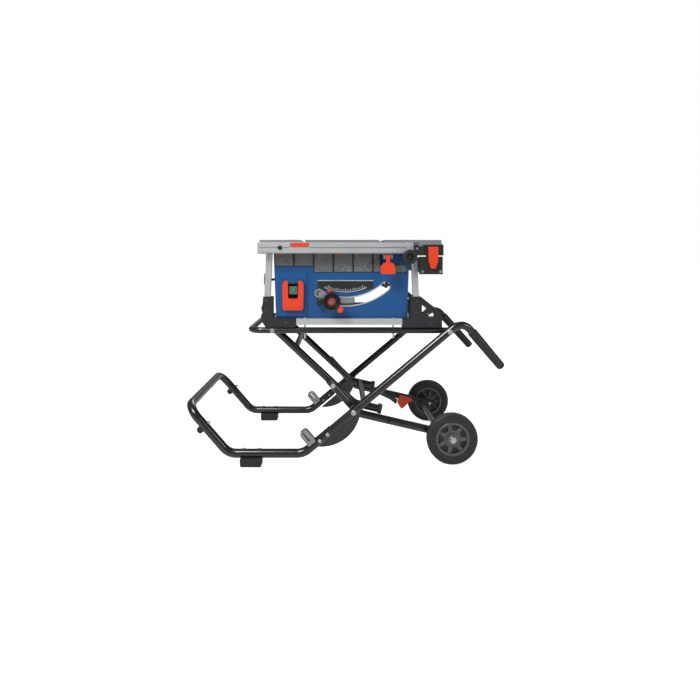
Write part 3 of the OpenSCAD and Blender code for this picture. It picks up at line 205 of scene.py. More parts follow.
def black_powder_coat():
    """Powder-coated steel: black epoxy baked on, with a fine orange peel and an even sheen."""
    finish, tree = new_finish("black_powder_coated_steel")
    place = add(tree, "ShaderNodeTexCoord")
    peel = noise(tree, place, 1.6)
    cloud = noise(tree, place, 90, 3.0)
    tone = two_tone(tree, "#08090a", "#0e0f10", cloud)
    sheen = add(tree, "ShaderNodeMapRange", {"To Min": 0.22, "To Max": 0.30}, {"Value": (cloud, "Fac")})
    bump = add(tree, "ShaderNodeBump", {"Strength": 0.10, "Distance": 0.0003}, {"Height": (peel, "Fac")})
    close_finish(tree, {"IOR": 1.5, "Coat Weight": 0.35, "Coat Roughness": 0.14},
                 {"Base Color": (tone, "Result"), "Roughness": (sheen, "Result"), "Normal": (bump, "Normal")})
    return finish


def dress(finish, *nodes):
    """Gives these CAD nodes that finish."""
    for name in nodes:
        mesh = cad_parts[name].data
        mesh.materials.clear()
        mesh.materials.append(finish)


def piece(name, surfaces, finish, body, *stands_for):
    """Makes an object of these (points, faces) surfaces in that finish, on that body, in place of these CAD
    nodes. The points stand end to end, and each surface's face numbers are moved on by the number of points
    before it."""
    starts = np.cumsum([0] + [len(points) for points, faces in surfaces])
    numbered = []
    for (points, faces), start in zip(surfaces, starts):
        for group in faces:
            numbered += (group + start).tolist()
    mesh = bpy.data.meshes.new(name)
    mesh.from_pydata(np.vstack([points for points, faces in surfaces]) / 1000, [], numbered)
    shape = bmesh.new()
    shape.from_mesh(mesh)
    bmesh.ops.recalc_face_normals(shape, faces=shape.faces)
    shape.to_mesh(mesh)
    shape.free()
    mesh.materials.append(finish)
    mesh.shade_smooth()
    mesh.set_sharp_from_angle(angle=math.radians(32))
    obj = bpy.data.objects.new(name, mesh)
    bpy.context.scene.collection.objects.link(obj)
    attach(obj, body)
    if stands_for:
        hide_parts(*stands_for)


def loft(rings, closed=False, poles=None):
    """The skin over a grid of points: rings of equal count, with a four-sided face between each two
    neighbours round a ring and the same two on the next ring. The last ring meets the first, or each end
    gets one flat face, or, with poles given, a fan of triangles to its pole. One pole alone closes the last
    end and leaves the first end open."""
    rings = np.asarray(rings, float)
    here = np.arange(rings.shape[0] * rings.shape[1]).reshape(rings.shape[:2])
    rows = np.vstack([here, here[:1]]) if closed else here
    beside = np.roll(rows, -1, axis=1)
    quads = np.stack([rows[:-1], beside[:-1], beside[1:], rows[1:]], axis=-1).reshape(-1, 4)
    points = rings.reshape(-1, 3)
    if closed:
        return points, [quads]
    if poles is None:
        return points, [np.stack([here[0, ::-1], here[-1]]), quads]
    last_tip = np.full(here.shape[1], here.size + len(poles) - 1)
    fans = [np.column_stack([here[-1], beside[-1], last_tip])]
    if len(poles) > 1:
        fans.append(np.column_stack([last_tip - 1, beside[0], here[0]]))
    return np.vstack([points, poles]), [quads] + fans


def basis(axis):
    """Two unit directions square to that axis, which with it make a right-handed set."""
    axis = np.array(axis, float) / np.linalg.norm(axis)
    guide = np.array((0, 0, 1.0)) if abs(axis[2]) < 0.9 else np.array((1.0, 0, 0))
    side = np.cross(guide, axis)
    side /= np.linalg.norm(side)
    return side, np.cross(axis, side), axis


def turned_rings(profile, centre, axis, steps, flutes=0, flute_depth=0.0, flute_from=0.0):
    """Rings about an axis, one for each (radius, distance along the axis) of the profile. At turn t a point
    stands off the axis by the radius times (side cos t + up sin t). Where the radius is above flute_from,
    it is less by flute_depth times cos(flutes t), as far as that is positive."""
    side, up, along = basis(axis)
    radius, distance = np.array(profile, float).T[:, :, None]
    turn = np.arange(steps) * 2 * np.pi / steps
    reach = radius - flute_depth * np.maximum(0, np.cos(flutes * turn)) * (radius > flute_from)
    return (np.array(centre, float) + distance[..., None] * along + (reach * np.cos(turn))[..., None] * side
            + (reach * np.sin(turn))[..., None] * up)


def hoop(profile, centre, axis, steps=96, flutes=0, flute_depth=0.0, flute_from=0.0):
    """A turned ring: the profile of (radius, distance) points closes on itself."""
    return loft(turned_rings(profile, centre, axis, steps, flutes, flute_depth, flute_from), closed=True)


def bead(radius, thick):
    """The profile of a half-round bead on a tube of that radius: an arc of an ellipse, 0.62 as high as it
    is half long, from one end under the tube's skin to the other."""
    turn = np.linspace(-1.4, 1.4, 7)
    arc = np.column_stack([radius + 0.62 * thick * np.cos(turn), thick * np.sin(turn)])
    return np.vstack([(radius - 0.6, -thick), arc, (radius - 0.6, thick)])


powder_coat = black_powder_coat()
dress(powder_coat, "base_loop", "foot_tube_near", "foot_tube_far", "leg_tube_near", "leg_tube_far",
      "platform_frame", "strut_frame", "wheel_frame", "stop_plates")
seams = []
for y in (-LEG_Y, LEG_Y):
    for along, thick in LOOP_SEAMS:
        seams.append(hoop(bead(LOOP_SLEEVE_R, thick), loop_foot + loop_dir * along + (0, y, 0), loop_dir, 64))
    seams.append(hoop(bead(LEG_SLEEVE_R, 1.6), main_pivot - leg_dir * LEG_SEAM + (0, y, 0), leg_dir, 64))
piece("sleeve_seams", seams, powder_coat, "base_frame")


def cross_welds(name, place, y, tube, cross, body):
    """Weld beads where a cross tube meets the two side tubes of a frame."""
    piece(name, [hoop(bead(cross / 2, 2.0), (place[0], side * (y - tube / 2 + 0.8), place[2]), (0, 1, 0), 48)
                 for side in (-1, 1)], powder_coat, body)


cross_welds("strut_upper_welds", strut_top + strut_dir * 122, STRUT_Y, TUBE_D, CROSS_TUBE_D, "strut")
cross_welds("strut_tail_welds", knee + strut_dir * 120 + arm_dir * 44, STRUT_Y, TUBE_D, CROSS_TUBE_D, "strut")
cross_welds("wheel_arm_welds", axle - arm_dir * 42, ARM_Y, TUBE_D, CROSS_TUBE_D, "wheel_arm")
cross_welds("platform_welds", np.array((350.0, 0, DECK_Z)), PLATFORM_Y, PLATFORM_TUBE_D, PLATFORM_CROSS_D,
            "platform")

# ---------------------------------------------------------------------------------------------------------
# Guard plates. Pressed steel half discs below the main pivots, powder-coated like the tubes. The edge is
# rolled over to a lip, so that it neither cuts nor bends.


def bar(path, radius, normal, steps=12):
    """A round rod with flat ends along a chain of points in one plane. Each ring is square to the line
    between the point's two neighbours: radius times (normal cos t + up sin t), with up square to that line
    and to the normal."""
    ahead = np.vstack([path[1:2], path[2:], path[-1:]])
    behind = np.vstack([path[:1], path[:-2], path[-2:-1]])
    along = (ahead - behind) / np.linalg.norm(ahead - behind, axis=1)[:, None]
    up = np.cross(along, normal)
    turn = (np.arange(steps) * 2 * np.pi / steps)[:, None]
    return loft(path[:, None] + radius * (np.cos(turn) * np.array(normal) + np.sin(turn) * up[:, None]))


PLATE_RADIUS = 156.2
PLATE_Y = 283.6
plate_turn = np.radians(np.linspace(-178, 6, 60))
plate_arc = np.column_stack([np.cos(plate_turn), 0 * plate_turn, np.sin(plate_turn)])
plate_edge = main_pivot + (-128, 0, 11) + PLATE_RADIUS * plate_arc
from_pivot = plate_edge - main_pivot
along_leg = from_pivot @ leg_dir
off_leg = from_pivot[:, 2] * leg_dir[0] - from_pivot[:, 0] * leg_dir[2]
plate_edge = plate_edge[off_leg < np.where(along_leg < -97, -21.5, -1.5)]
piece("guard_plate_lips", [bar(plate_edge + (0, y, 0), 1.7, (0, 1, 0), 10) for y in (-PLATE_Y, PLATE_Y)],
      powder_coat, "base_frame")

# ---------------------------------------------------------------------------------------------------------
# Tube plugs. Black glass-filled nylon caps, moulded with a fine spark-eroded grain and pressed into the
# open ends of the tubes, where they keep water out.


def moulded(name, dark, light, roughness, grain_mm, depth_mm, drift_mm=120, strength=0.3):
    """Moulded plastic or rubber: an even grain in the surface and a slight shift of tone over its length."""
    finish, tree = new_finish(name)
    place = add(tree, "ShaderNodeTexCoord")
    grain = noise(tree, place, grain_mm)
    drift = noise(tree, place, drift_mm)
    tone = two_tone(tree, dark, light, drift)
    bump = add(tree, "ShaderNodeBump", {"Strength": strength, "Distance": depth_mm / 1000},
               {"Height": (grain, "Fac")})
    close_finish(tree, {"IOR": 1.5, "Roughness": roughness},
                 {"Base Color": (tone, "Result"), "Normal": (bump, "Normal")})
    return finish


def lathe(profile, centre, axis, steps=64, flutes=0, flute_depth=0.0, flute_from=0.0):
    """A turned solid: the profile's rings about the axis, with its first and last points as the poles."""
    rings = turned_rings(profile, centre, axis, steps, flutes, flute_depth, flute_from)
    return loft(rings[1:-1], poles=rings[[0, -1], 0])


def tube_plug(mouth, outward, bore, lip, ease):
    """A plug in a tube's mouth: a shank of the bore's radius, an eased lip on the tube and a low dome."""
    profile = [(0, -4), (bore, -4), (bore, 0), (lip - ease, 0.2), (lip, 1.2), (bore + 0.1, 2.6), (0, 3.2)]
    return lathe(profile, mouth, outward, 40)


black_nylon = moulded("textured_black_nylon", "#141517", "#1e1f22", 0.42, 0.9, 0.12)
WIDE_PLUG = (13.4, 15.6, 0.3)
NARROW_PLUG = (10.4, 12.4, 0.2)
piece("platform_plugs", [tube_plug(platform_pivot + (14, y, 0), (1, 0, 0), *NARROW_PLUG)
                         for y in (-PLATFORM_Y, PLATFORM_Y)], black_nylon, "platform")
piece("strut_plugs", [tube_plug(strut_top - strut_dir * 16 + (0, y, 0), -strut_dir, *WIDE_PLUG)
                      for y in (-STRUT_Y, STRUT_Y)], black_nylon, "strut")
piece("wheel_arm_plugs", [tube_plug(mouth + (0, y, 0), outward, *WIDE_PLUG) for y in (-ARM_Y, ARM_Y)
                          for mouth, outward in ((knee - pivot_to_knee * 25, -pivot_to_knee),
                                                 (axle + arm_dir * 20, arm_dir))], black_nylon, "wheel_arm")

# ---------------------------------------------------------------------------------------------------------
# Bolts, catches and bumpers of the stand. Bolts are zinc-plated, with low domed heads; the catches in which
# the folded tubes rest are bright rolled steel. Strut blocks are black nylon, and black rubber domes hang
# on the loop.


def plated_steel(name, dark, light, smooth, rough, cloud_mm):
    """Plated or bare steel: a metal on which the bath or the mill left slight clouds in tone and gloss."""
    finish, tree = new_finish(name)
    place = add(tree, "ShaderNodeTexCoord")
    cloud = noise(tree, place, cloud_mm, 4.0)
    tone = two_tone(tree, dark, light, cloud)
    gloss = add(tree, "ShaderNodeMapRange", {"To Min": smooth, "To Max": rough}, {"Value": (cloud, "Fac")})
    close_finish(tree, {"Metallic": 1.0}, {"Base Color": (tone, "Result"), "Roughness": (gloss, "Result")})
    return finish


def soften(width, *nodes, segments=2):
    """Rounds the edges of these CAD nodes with modifiers: the solids keep their size and shape."""
    for node in nodes:
        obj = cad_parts[node]
        weld = obj.modifiers.new("weld", "WELD")
        weld.merge_threshold = 0.00002
        flat = obj.modifiers.new("flat_faces", "DECIMATE")
        flat.decimate_type = "DISSOLVE"
        flat.angle_limit = math.radians(1)
        rounding = obj.modifiers.new("rounded_edges", "BEVEL")
        rounding.width = width / 1000
        rounding.segments = segments
        rounding.limit_method = "ANGLE"
        rounding.angle_limit = math.radians(32)
        rounding.harden_normals = True


def domed_head(place, axis, radius, height):
    """A low domed bolt head with a socket, standing on that place."""
    return lathe([(0, height - 1.6), (radius * 0.34, height - 1.6), (radius * 0.38, height),
                  (radius * 0.62, height - 0.3), (radius * 0.86, height * 0.62), (radius, height * 0.12),
                  (radius, -0.5), (0, -0.5)], place, axis, 32)


zinc = plated_steel("zinc_plated_steel", "#9a9ea2", "#c9ccd0", 0.26, 0.46, 14)
catch_steel = plated_steel("bright_rolled_steel", "#85888b", "#a3a6a9", 0.34, 0.5, 12)
rubber = moulded("moulded_black_rubber", "#101112", "#1a1b1c", 0.6, 1.2, 0.3, 60, 0.35)
dress(zinc, "base_bolts", "platform_bolts", "arm_bolts")
dress(catch_steel, "saddle_catches")
dress(black_nylon, "strut_bumpers")
dress(rubber, "loop_bumpers")
heads = []
for side in (-1, 1):
    for along in (134, 174):
        place = main_pivot - leg_dir * along + (0, side * (LEG_Y + 21.8), 0)
        heads.append(domed_head(place, (0, side, 0), 6.6, 3.0))
    for pivot, radius in ((main_pivot, 9.2), (platform_pivot, 8.8)):
        heads.append(domed_head(pivot + (0, side * (LEG_Y + 20.6), 0), (0, side, 0), radius, 3.4))
piece("stand_bolt_heads", heads, zinc, "base_frame")
soften(1.2, "saddle_catches")
soften(0.8, "stop_plates")
soften(0.5, "base_bolts", "platform_bolts", "arm_bolts")
soften(2.6, "strut_bumpers", segments=3)
bumper_profile = [(0, 13), (13.4, 13), (13.8, 19), (14, 24), (13.2, 30), (11.2, 33.6), (5, 34), (4.2, 31),
                  (0, 31)]
loop_underside = np.cross(loop_dir, (0, 1, 0))
piece("loop_bumper_domes", [lathe(bumper_profile, loop_foot + loop_dir * 144 + (0, y, 0), loop_underside, 48)
                            for y in (-LEG_Y, LEG_Y)], rubber, "base_frame", "loop_bumpers")

# ---------------------------------------------------------------------------------------------------------
# Foot pads. Black rubber shoes with bevelled corners, moulded round the loop's ends; their soles are cut
# into ribs for grip, and studs stand along their sides.


def span(node):
    """The lowest and highest corner of a CAD node at rest, in millimetres."""
    low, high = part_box(node)
    return np.array(low) * 1000, np.array(high) * 1000


def standing(outline, y):
    """An outline's (x, z) points as points in space, on the plane at that y."""
    return np.insert(np.asarray(outline, float), 1, y, axis=1)


def prism(outline, near, far):
    """A solid of one section: the outline of (x, z) points, carried straight from y near to y far."""
    return loft([standing(outline, far), standing(outline, near)])


def block(low, high):
    """A box between two corners."""
    left, right, bottom, top = low[0], high[0], low[2], high[2]
    return prism([(left, bottom), (right, bottom), (right, top), (left, top)], low[1], high[1])


RIB_PITCH = 7.0
PAD_TOP = 36.0
dress(rubber, "foot_pads")
pad_low, pad_high = span("foot_pads")
left, right = pad_low[0], pad_high[0]
rib_count = int((right - left - 8) // RIB_PITCH)
first_rib = (left + right - rib_count * RIB_PITCH) / 2
rib_x = (first_rib + RIB_PITCH * np.arange(rib_count)[:, None]
         + (0.8, RIB_PITCH - 1.6, RIB_PITCH - 1.2, RIB_PITCH + 0.4))
sole = np.column_stack([rib_x.ravel(), np.tile((0, 0, 2.4, 2.4), rib_count)])[:-2]
shoe_outline = np.vstack([(left + 1.2, 5), sole, [
    (right - 1.2, 5), (right - 0.4, PAD_TOP - 4), (right - 4, PAD_TOP), (left + 4, PAD_TOP),
    (left + 0.4, PAD_TOP - 4)]])
studs = []
for y in (-LEG_Y, LEG_Y):
    for side in (-1, 1):
        stud_y = y + side * 23.4
        for x in np.arange(left + 12, right - 8, 12.5):
            studs.append(block((x, stud_y - 0.9, 8), (x + 3.2, stud_y + 0.9, PAD_TOP - 6)))
soles = [prism(shoe_outline, y - 24, y + 24) for y in (-LEG_Y, LEG_Y)]
piece("foot_shoes", soles + studs, rubber, "base_frame", "foot_pads")

# ---------------------------------------------------------------------------------------------------------
# Grips. Foam-rubber sleeves over the bent handle ends, open where the tube goes in. They narrow to a
# rounded end, and fine rings give the hand hold.

GRIP_LEAN = math.radians(10)
GRIP_DROOP = math.radians(48.9)
GRIP_LENGTH = 195.0
foam_rubber = moulded("foamed_grip_rubber", "#070808", "#0e0f10", 0.36, 0.7, 0.2, 40, 0.3)
dress(rubber, "handle_grips")


def turn_about(vector, axis, angle):
    """The vector turned about that unit axis."""
    return (vector * math.cos(angle) + np.cross(axis, vector) * math.sin(angle)
            + axis * axis.dot(vector) * (1 - math.cos(angle)))


ring_at = 13 + 8.6 * np.arange(20)[:, None] + (0, 6, 6.8, 7.8)
ring_radius = 19.2 - 1.7 * ring_at[:, :1] / GRIP_LENGTH - (0, 0, 0.5, 0.5)
sleeve_profile = np.vstack([
    [(15.9, 0), (17.8, 0), (18.9, 1.6), (19.2, 5)],
    np.column_stack([ring_radius.ravel(), ring_at.ravel()]),
    [(17.3, GRIP_LENGTH - 6), (16.5, GRIP_LENGTH - 1), (14.0, GRIP_LENGTH + 3), (8.8, GRIP_LENGTH + 5.4),
     (0, GRIP_LENGTH + 5.9)]])
sleeves = []
for side in (-1, 1):
    down_grip, to_bend = (turn_about(np.array(v), leg_dir, -side * GRIP_LEAN)
                          for v in ((math.cos(GRIP_DROOP), 0, -math.sin(GRIP_DROOP)), leg_dir * 68))
    mouth = platform_pivot + (0, side * LEG_Y, 0) + to_bend + down_grip * 64
    rings = turned_rings(sleeve_profile, mouth, down_grip, 48)
    sleeves.append(loft(rings[:-1], poles=rings[-1:, 0]))
piece("grip_sleeves", sleeves, foam_rubber, "base_frame", "handle_grips")

# ---------------------------------------------------------------------------------------------------------
# Release pedal. A black steel arm on the wheel arm's inside, with a red ABS foot plate that has three tread
# ribs.

red_abs = moulded("moulded_red_abs", "#cc3515", "#d6401e", 0.34, 0.9, 0.08)
dress(red_abs, "release_pedal")
pedal_pivot = arm_corner + arm_dir * 125


def on_arm(points):
    """Points drawn along and across the wheel arm, from the pedal's pivot, as (x, z)."""
    along, across = np.array(points, float).T
    return np.column_stack([pedal_pivot[0] + along * arm_dir[0] - across * arm_dir[2],
                            pedal_pivot[2] + along * arm_dir[2] + across * arm_dir[0]])


arm_inside = ARM_Y - TUBE_D / 2 - 1
stem = on_arm([(-12, -10), (14, -14), (60, -24), (96, -41), (96, -14.5), (60, -8), (14, 9), (-12, 9)])
piece("pedal_stem", [prism(stem, arm_inside - 5, arm_inside)], powder_coat, "pedal", "release_pedal")
foot_plate = on_arm([(104, -18), (101, -33), (111, -44), (128, -56.5), (138, -43), (149, -27), (151, -18)])
piece("pedal_plate", [prism(foot_plate, arm_inside - 5, arm_inside + 26)], red_abs, "pedal")
cheek = on_arm([(103, 8), (164, 6), (168, -8), (151, -18), (149, -27), (128, -44), (103, -30)])
piece("pedal_cheek", [prism(cheek, arm_inside - 5.6, arm_inside - 0.3)], red_abs, "pedal")
piece("pedal_treads", [prism(on_arm([(u, v), (u + 2.4, v - 1.8), (u + 3.4, v + 1.6), (u + 1.2, v + 3)]),
                             arm_inside - 2, arm_inside + 23)
                       for u, v in ((105, -36.6), (112.5, -43.8), (120, -50))], red_abs, "pedal")

# ---------------------------------------------------------------------------------------------------------
# Tyres. Solid black rubber: a ribbed tread, stepped shoulders, and a raised ring on each side wall.

low, high = span("tyre_near")
tyre_mid = np.array(((low[0] + high[0]) / 2, 0, (low[2] + high[2]) / 2))
tyre_radius = (high[2] - low[2]) / 2
TYRE_HALF = 21.0
WHEEL_Y = 285.0
tyre_finish = moulded("solid_tyre_rubber", "#0d0e0f", "#1b1c1d", 0.5, 1.6, 0.5, 14, 0.5)
dress(tyre_finish, "tyre_near", "tyre_far")
side_wall = [(67, -5), (71, -3.4), (76, -2.2), (80, -0.4), (83.5, 0), (87.5, -0.4), (88.9, -2.0), (92, -2.6),
             (95, -2.8), (97.5, -4.4), (99.6, -6.4)]
tread = [(101.6, -8.4), (tyre_radius, -10.4), (tyre_radius, -13.8), (100.4, -14.6), (100.4, -16.4),
         (tyre_radius, -17.2), (tyre_radius, 1.6 - TYRE_HALF), (100.6, 0.9 - TYRE_HALF)]
half_profile = np.array(side_wall + tread) + (0, TYRE_HALF)
tyre_profile = np.vstack([half_profile, half_profile[::-1] * (1, -1)])
for name, side in (("near", -1), ("far", 1)):
    tyre = hoop(tyre_profile, tyre_mid + (0, side * WHEEL_Y, 0), (0, 1, 0), 180, flutes=60, flute_depth=1.5,
                flute_from=99)
    piece(f"tyre_{name}_ribbed", [tyre], tyre_finish, f"wheel_{name}", f"tyre_{name}")

# ---------------------------------------------------------------------------------------------------------
# Rims. Grey nylon mouldings with spokes, a bead ring where they meet the tyre, and a bright push-on cap
# with a dark centre over each axle end.

rim_grey = moulded("moulded_rim_nylon", "#434547", "#515355", 0.34, 0.9, 0.10)
dress(rim_grey, "rim_near", "rim_far")
soften(1.4, "rim_near", "rim_far", segments=3)
bead_ring = [(58.4, 15.4), (59.4, 17.2), (62, 18.2), (65.4, 17.8), (67.2, 16.2), (67.2, 14.4)]
# Black rings on both faces of the web between the spokes: painted shade in the recesses between the spokes.
web_shade_ring = np.array([(35.2, 1.9), (35.2, 2.5), (58.8, 2.5), (58.8, 1.9)])
cap_ring = [(4.6, 30.0), (6.0, 31.0), (9.2, 30.8), (11.8, 29.2), (12.6, 26.0), (14.4, 24.2), (14.4, 23.2),
            (4.6, 23.2)]
cap_centre = [(0, 30.2), (4.4, 30.0), (4.6, 29.0), (4.6, 24), (0, 24)]
for name, side in (("near", -1), ("far", 1)):
    place = (tyre_mid + (0, side * WHEEL_Y, 0), (0, side, 0))
    piece(f"rim_bead_{name}", [hoop(bead_ring, *place, 128)], rim_grey, f"wheel_{name}")
    piece(f"rim_web_shade_{name}", [hoop(web_shade_ring * (1, face), *place) for face in (1, -1)], black_nylon,
          f"wheel_{name}")
    piece(f"axle_cap_{name}", [hoop(cap_ring, *place, 64)], zinc, "wheel_arm")
    piece(f"axle_cap_centre_{name}", [lathe(cap_centre, *place, 32)], black_nylon, "wheel_arm")

# ---------------------------------------------------------------------------------------------------------
# Switch. A red ABS paddle with sloped shoulders hangs in front of a black pocket. In the pocket sit a grey
# plate and the green start button. Pushing the paddle anywhere stops the saw.

green_abs = moulded("moulded_green_abs", "#1f7d58", "#2a9269", 0.3, 0.9, 0.08)
grey_nylon = moulded("moulded_grey_nylon", "#56585b", "#66686b", 0.42, 0.9, 0.10)
dress(red_abs, "switch_paddle")
dress(green_abs, "start_button")
dress(black_nylon, "switch_box")
low, high = span("switch_paddle")
mid_x = (low[0] + high[0]) / 2
front, top, bottom = low[1], high[2], low[2]
notch_half, notch_low = 21.0, bottom + 46
paddle = [(low[0] + 14, top), (low[0] + 5, top - 6), (low[0] + 1, top - 20), (low[0] + 3, bottom + 8),
          (low[0] + 9, bottom), (high[0] - 9, bottom), (high[0] - 3, bottom + 8), (high[0] - 1, top - 20),
          (high[0] - 5, top - 6), (high[0] - 14, top), (mid_x + notch_half, top - 3),
          (mid_x + notch_half - 1, notch_low + 6), (mid_x + notch_half - 5, notch_low),
          (mid_x - notch_half + 5, notch_low), (mid_x - notch_half + 1, notch_low + 6),
          (mid_x - notch_half, top - 3)]
push_face = [(low[0] + 9, notch_low - 8), (high[0] - 9, notch_low - 8), (high[0] - 11, bottom + 8),
             (low[0] + 11, bottom + 8)]
piece("stop_paddle", [prism(paddle, front + 2, front + 13)], red_abs, "switch", "switch_paddle")
piece("stop_paddle_push_face", [prism(push_face, front, front + 4)], red_abs, "switch")
for name, side in (("left", -1), ("right", 1)):
    pin = lathe([(0, 0), (2.5, 0), (2.9, 0.4), (2.9, 13.6), (2.5, 14), (0, 14)],
                (mid_x + side * 37 - 7, front + 6.5, top - 12), (1, 0, 0), 24)
    piece(f"paddle_pin_{name}", [pin], black_nylon, "switch")

low, high = span("start_button")
button_x, button_z = (low[0] + high[0]) / 2, (low[2] + high[2]) / 2
button = lathe([(0, 0), (8.2, 0), (9.2, 0.8), (9.6, 2), (9.6, 15), (0, 15)], (button_x, low[1], button_z),
               (0, 1, 0), 48)
piece("start_button_cap", [button], green_abs, "button", "start_button")
box_front = span("switch_box")[0][1]
turn = np.arange(48) * 2 * np.pi / 48
hole = np.column_stack([np.cos(turn), np.sin(turn)])
plate_rim = 16 * hole / np.abs(hole).max(axis=1)[:, None] + (button_x, button_z)
hole = 10.6 * hole + (button_x, button_z)
face_plate = loft([standing(plate_rim, box_front), standing(plate_rim, box_front - 1.6),
                   standing(hole, box_front - 1.6), standing(hole, box_front)], closed=True)
piece("switch_face_plate", [face_plate], grey_nylon, "platform")
soften(1.5, "switch_box", segments=3)

# ---------------------------------------------------------------------------------------------------------
# Bevel scale. A shallow black sector with white printed degree marks about the blade's tilt axis, and a
# bright arc of anodised aluminium below them.


def drawn_aluminium(name, dark, light, roughness, grain_mm, along, metallic=1.0):
    """Aluminium with a fine grain drawn out along one axis, by the grinder or by the extrusion die."""
    finish, tree = new_finish(name)
    place = add(tree, "ShaderNodeTexCoord")
    stretch = [1000 / grain_mm] * 3
    stretch["XYZ".index(along)] = 1000 / (grain_mm * 60)
    turned_to = add(tree, "ShaderNodeMapping", {"Scale": stretch}, {"Vector": (place, "Object")})
    grain = add(tree, "ShaderNodeTexNoise", {"Scale": 1.0, "Detail": 3.0, "Roughness": 0.6},
                {"Vector": (turned_to, "Vector")})
    tone = two_tone(tree, dark, light, grain)
    rough = add(tree, "ShaderNodeMapRange", {"To Min": roughness - 0.06, "To Max": roughness + 0.08},
                {"Value": (grain, "Fac")})
    bump = add(tree, "ShaderNodeBump", {"Strength": 0.10, "Distance": 0.00012}, {"Height": (grain, "Fac")})
    close_finish(tree, {"Metallic": metallic},
                 {"Base Color": (tone, "Result"), "Roughness": (rough, "Result"), "Normal": (bump, "Normal")})
    return finish


def arc_points(centre, radius, start, end, count):
    """Points (x, z) on a circle, at even steps between two angles in degrees from +X towards +Z."""
    turn = np.radians(np.linspace(start, end, count))
    return np.column_stack([np.cos(turn), np.sin(turn)]) * radius + centre


white_ink = moulded("printed_white_ink", "#d8dadb", "#eceded", 0.5, 1.5, 0.02)
rail_aluminium = drawn_aluminium("extruded_anodised_aluminium", "#b6b8ba", "#cccecf", 0.42, 1.3, "X", 0.75)
dress(black_nylon, "scale_plate")
TILT_AXIS = np.array((0.0, 898.0))
MARK_OUTER = 206
marks = []
for degrees in range(-22, 23, 2):
    angle = math.radians(degrees - 90)
    out = np.array((math.cos(angle), math.sin(angle)))
    across = np.array((-out[1], out[0]))
    mark_inner = MARK_OUTER - (10 if degrees % 10 == 0 else 6)
    marks.append(prism([TILT_AXIS + out * reach + across * half_width for reach, half_width in (
        (mark_inner, -0.6), (MARK_OUTER, -0.6), (MARK_OUTER, 0.6), (mark_inner, 0.6))], -263.3, -262.6))
piece("bevel_degree_marks", marks, white_ink, "platform")
scale_edge = np.vstack([arc_points(TILT_AXIS, 208.5, -114, -66, 64),
                        arc_points(TILT_AXIS, 212.0, -66, -114, 64)])
piece("bevel_scale_edge", [prism(scale_edge, -264.2, -262.4)], rail_aluminium, "platform")

# ---------------------------------------------------------------------------------------------------------
# Bevel slot. Bright aluminium trim round the slot; along its lower edge lies the dark phosphated steel rack
# in which the bevel lock bites.

RACK_START, RACK_TURN, RACK_TEETH = -105.0, 26.0, 34
dark_steel = plated_steel("phosphated_dark_steel", "#3c3e41", "#56585b", 0.36, 0.55, 9)
dress(rail_aluminium, "slot_trim")
tooth_turn = np.radians(RACK_START + RACK_TURN / RACK_TEETH
                        * (np.arange(RACK_TEETH)[:, None] + (0, 0.35, 0.5, 0.85)))
tooth_radius = np.tile((260.5, 260.5, 257.6, 257.6), RACK_TEETH)[:, None]
teeth = TILT_AXIS + tooth_radius * np.column_stack([np.cos(tooth_turn).ravel(), np.sin(tooth_turn).ravel()])
rack_outline = np.vstack([arc_points(TILT_AXIS, 265.5, RACK_START + RACK_TURN, RACK_START, 40), teeth])
piece("bevel_rack", [prism(rack_outline, -261.5, -257.5)], dark_steel, "platform")
soften(0.7, "slot_trim")
piece("slot_end_clip", [lathe([(0, 3.4), (radius - 1.2, 3.2), (radius, 2.2), (radius, -0.6), (0, -0.6)],
                              (x, -262.0, z), (0, -1, 0), 24)
                        for x, z, radius in ((153, 716, 7.5), (166, 723, 6.5), (176, 716, 6), (164, 711, 8))],
      black_nylon, "platform")

# ---------------------------------------------------------------------------------------------------------
# Handwheel. A black nylon rim with finger flutes, a sunk face with five ribs, a turned steel hub with a red
# ring, and a crank arm with a red knob.

shaft = np.array((-54.96, 654.1))
WHEEL_FACE = -330.0
CRANK_DEGREES = -42
on_shaft = ((shaft[0], WHEEL_FACE, shaft[1]), (0, -1, 0))
turned = plated_steel("turned_steel", "#83868a", "#a6a9ad", 0.25, 0.38, 8)
dress(black_nylon, "handwheel")


def on_wheel(degrees, points):
    """Points drawn outwards and across a spoke of the handwheel at that angle, as (x, z)."""
    turn = math.radians(degrees)
    out, across = np.array(points, float).T
    return np.column_stack([shaft[0] + out * math.cos(turn) - across * math.sin(turn),
                            shaft[1] + out * math.sin(turn) + across * math.cos(turn)])


rim_ring = [(28.5, -20), (30, -23), (33, -24), (35.2, -21), (36, -14), (36, 0), (35.4, 5), (33, 8), (30.5, 8),
            (28.8, 5.5), (28, 0)]
piece("handwheel_rim", [hoop(rim_ring, *on_shaft, 144, flutes=12, flute_depth=2.4, flute_from=31.5)],
      black_nylon, "crank", "handwheel")
dish = [(0, -12), (28.6, -12), (28.6, -5), (24, -4), (12, -3), (9.5, 3), (8.5, 6), (0, 6.5)]
piece("handwheel_dish", [lathe(dish, *on_shaft, 72)], black_nylon, "crank")
rib_outline = [(8, -2.2), (28.5, -3), (28.5, 3), (8, 2.2)]
ribs = [prism(on_wheel(CRANK_DEGREES + 216 + 72 * k, rib_outline), WHEEL_FACE - 1.5, WHEEL_FACE + 5)
        for k in range(5)]
piece("handwheel_ribs", ribs, black_nylon, "crank")
piece("handwheel_mark", [hoop([(9.6, 3.2), (13.4, 3.2), (13.4, 4.2), (9.6, 4.2)], *on_shaft, 48)], red_abs,
      "crank")
hub = [(0, 7.6), (3.2, 7.6), (3.8, 6.8), (7.4, 6.6), (8.2, 5.8), (8.2, 3), (0, 3)]
piece("handwheel_hub", [lathe(hub, *on_shaft, 48)], turned, "crank")
arm = on_wheel(CRANK_DEGREES, [(16, -7), (46, -9), (54, -5), (56, 0), (54, 5), (46, 9), (16, 7)])
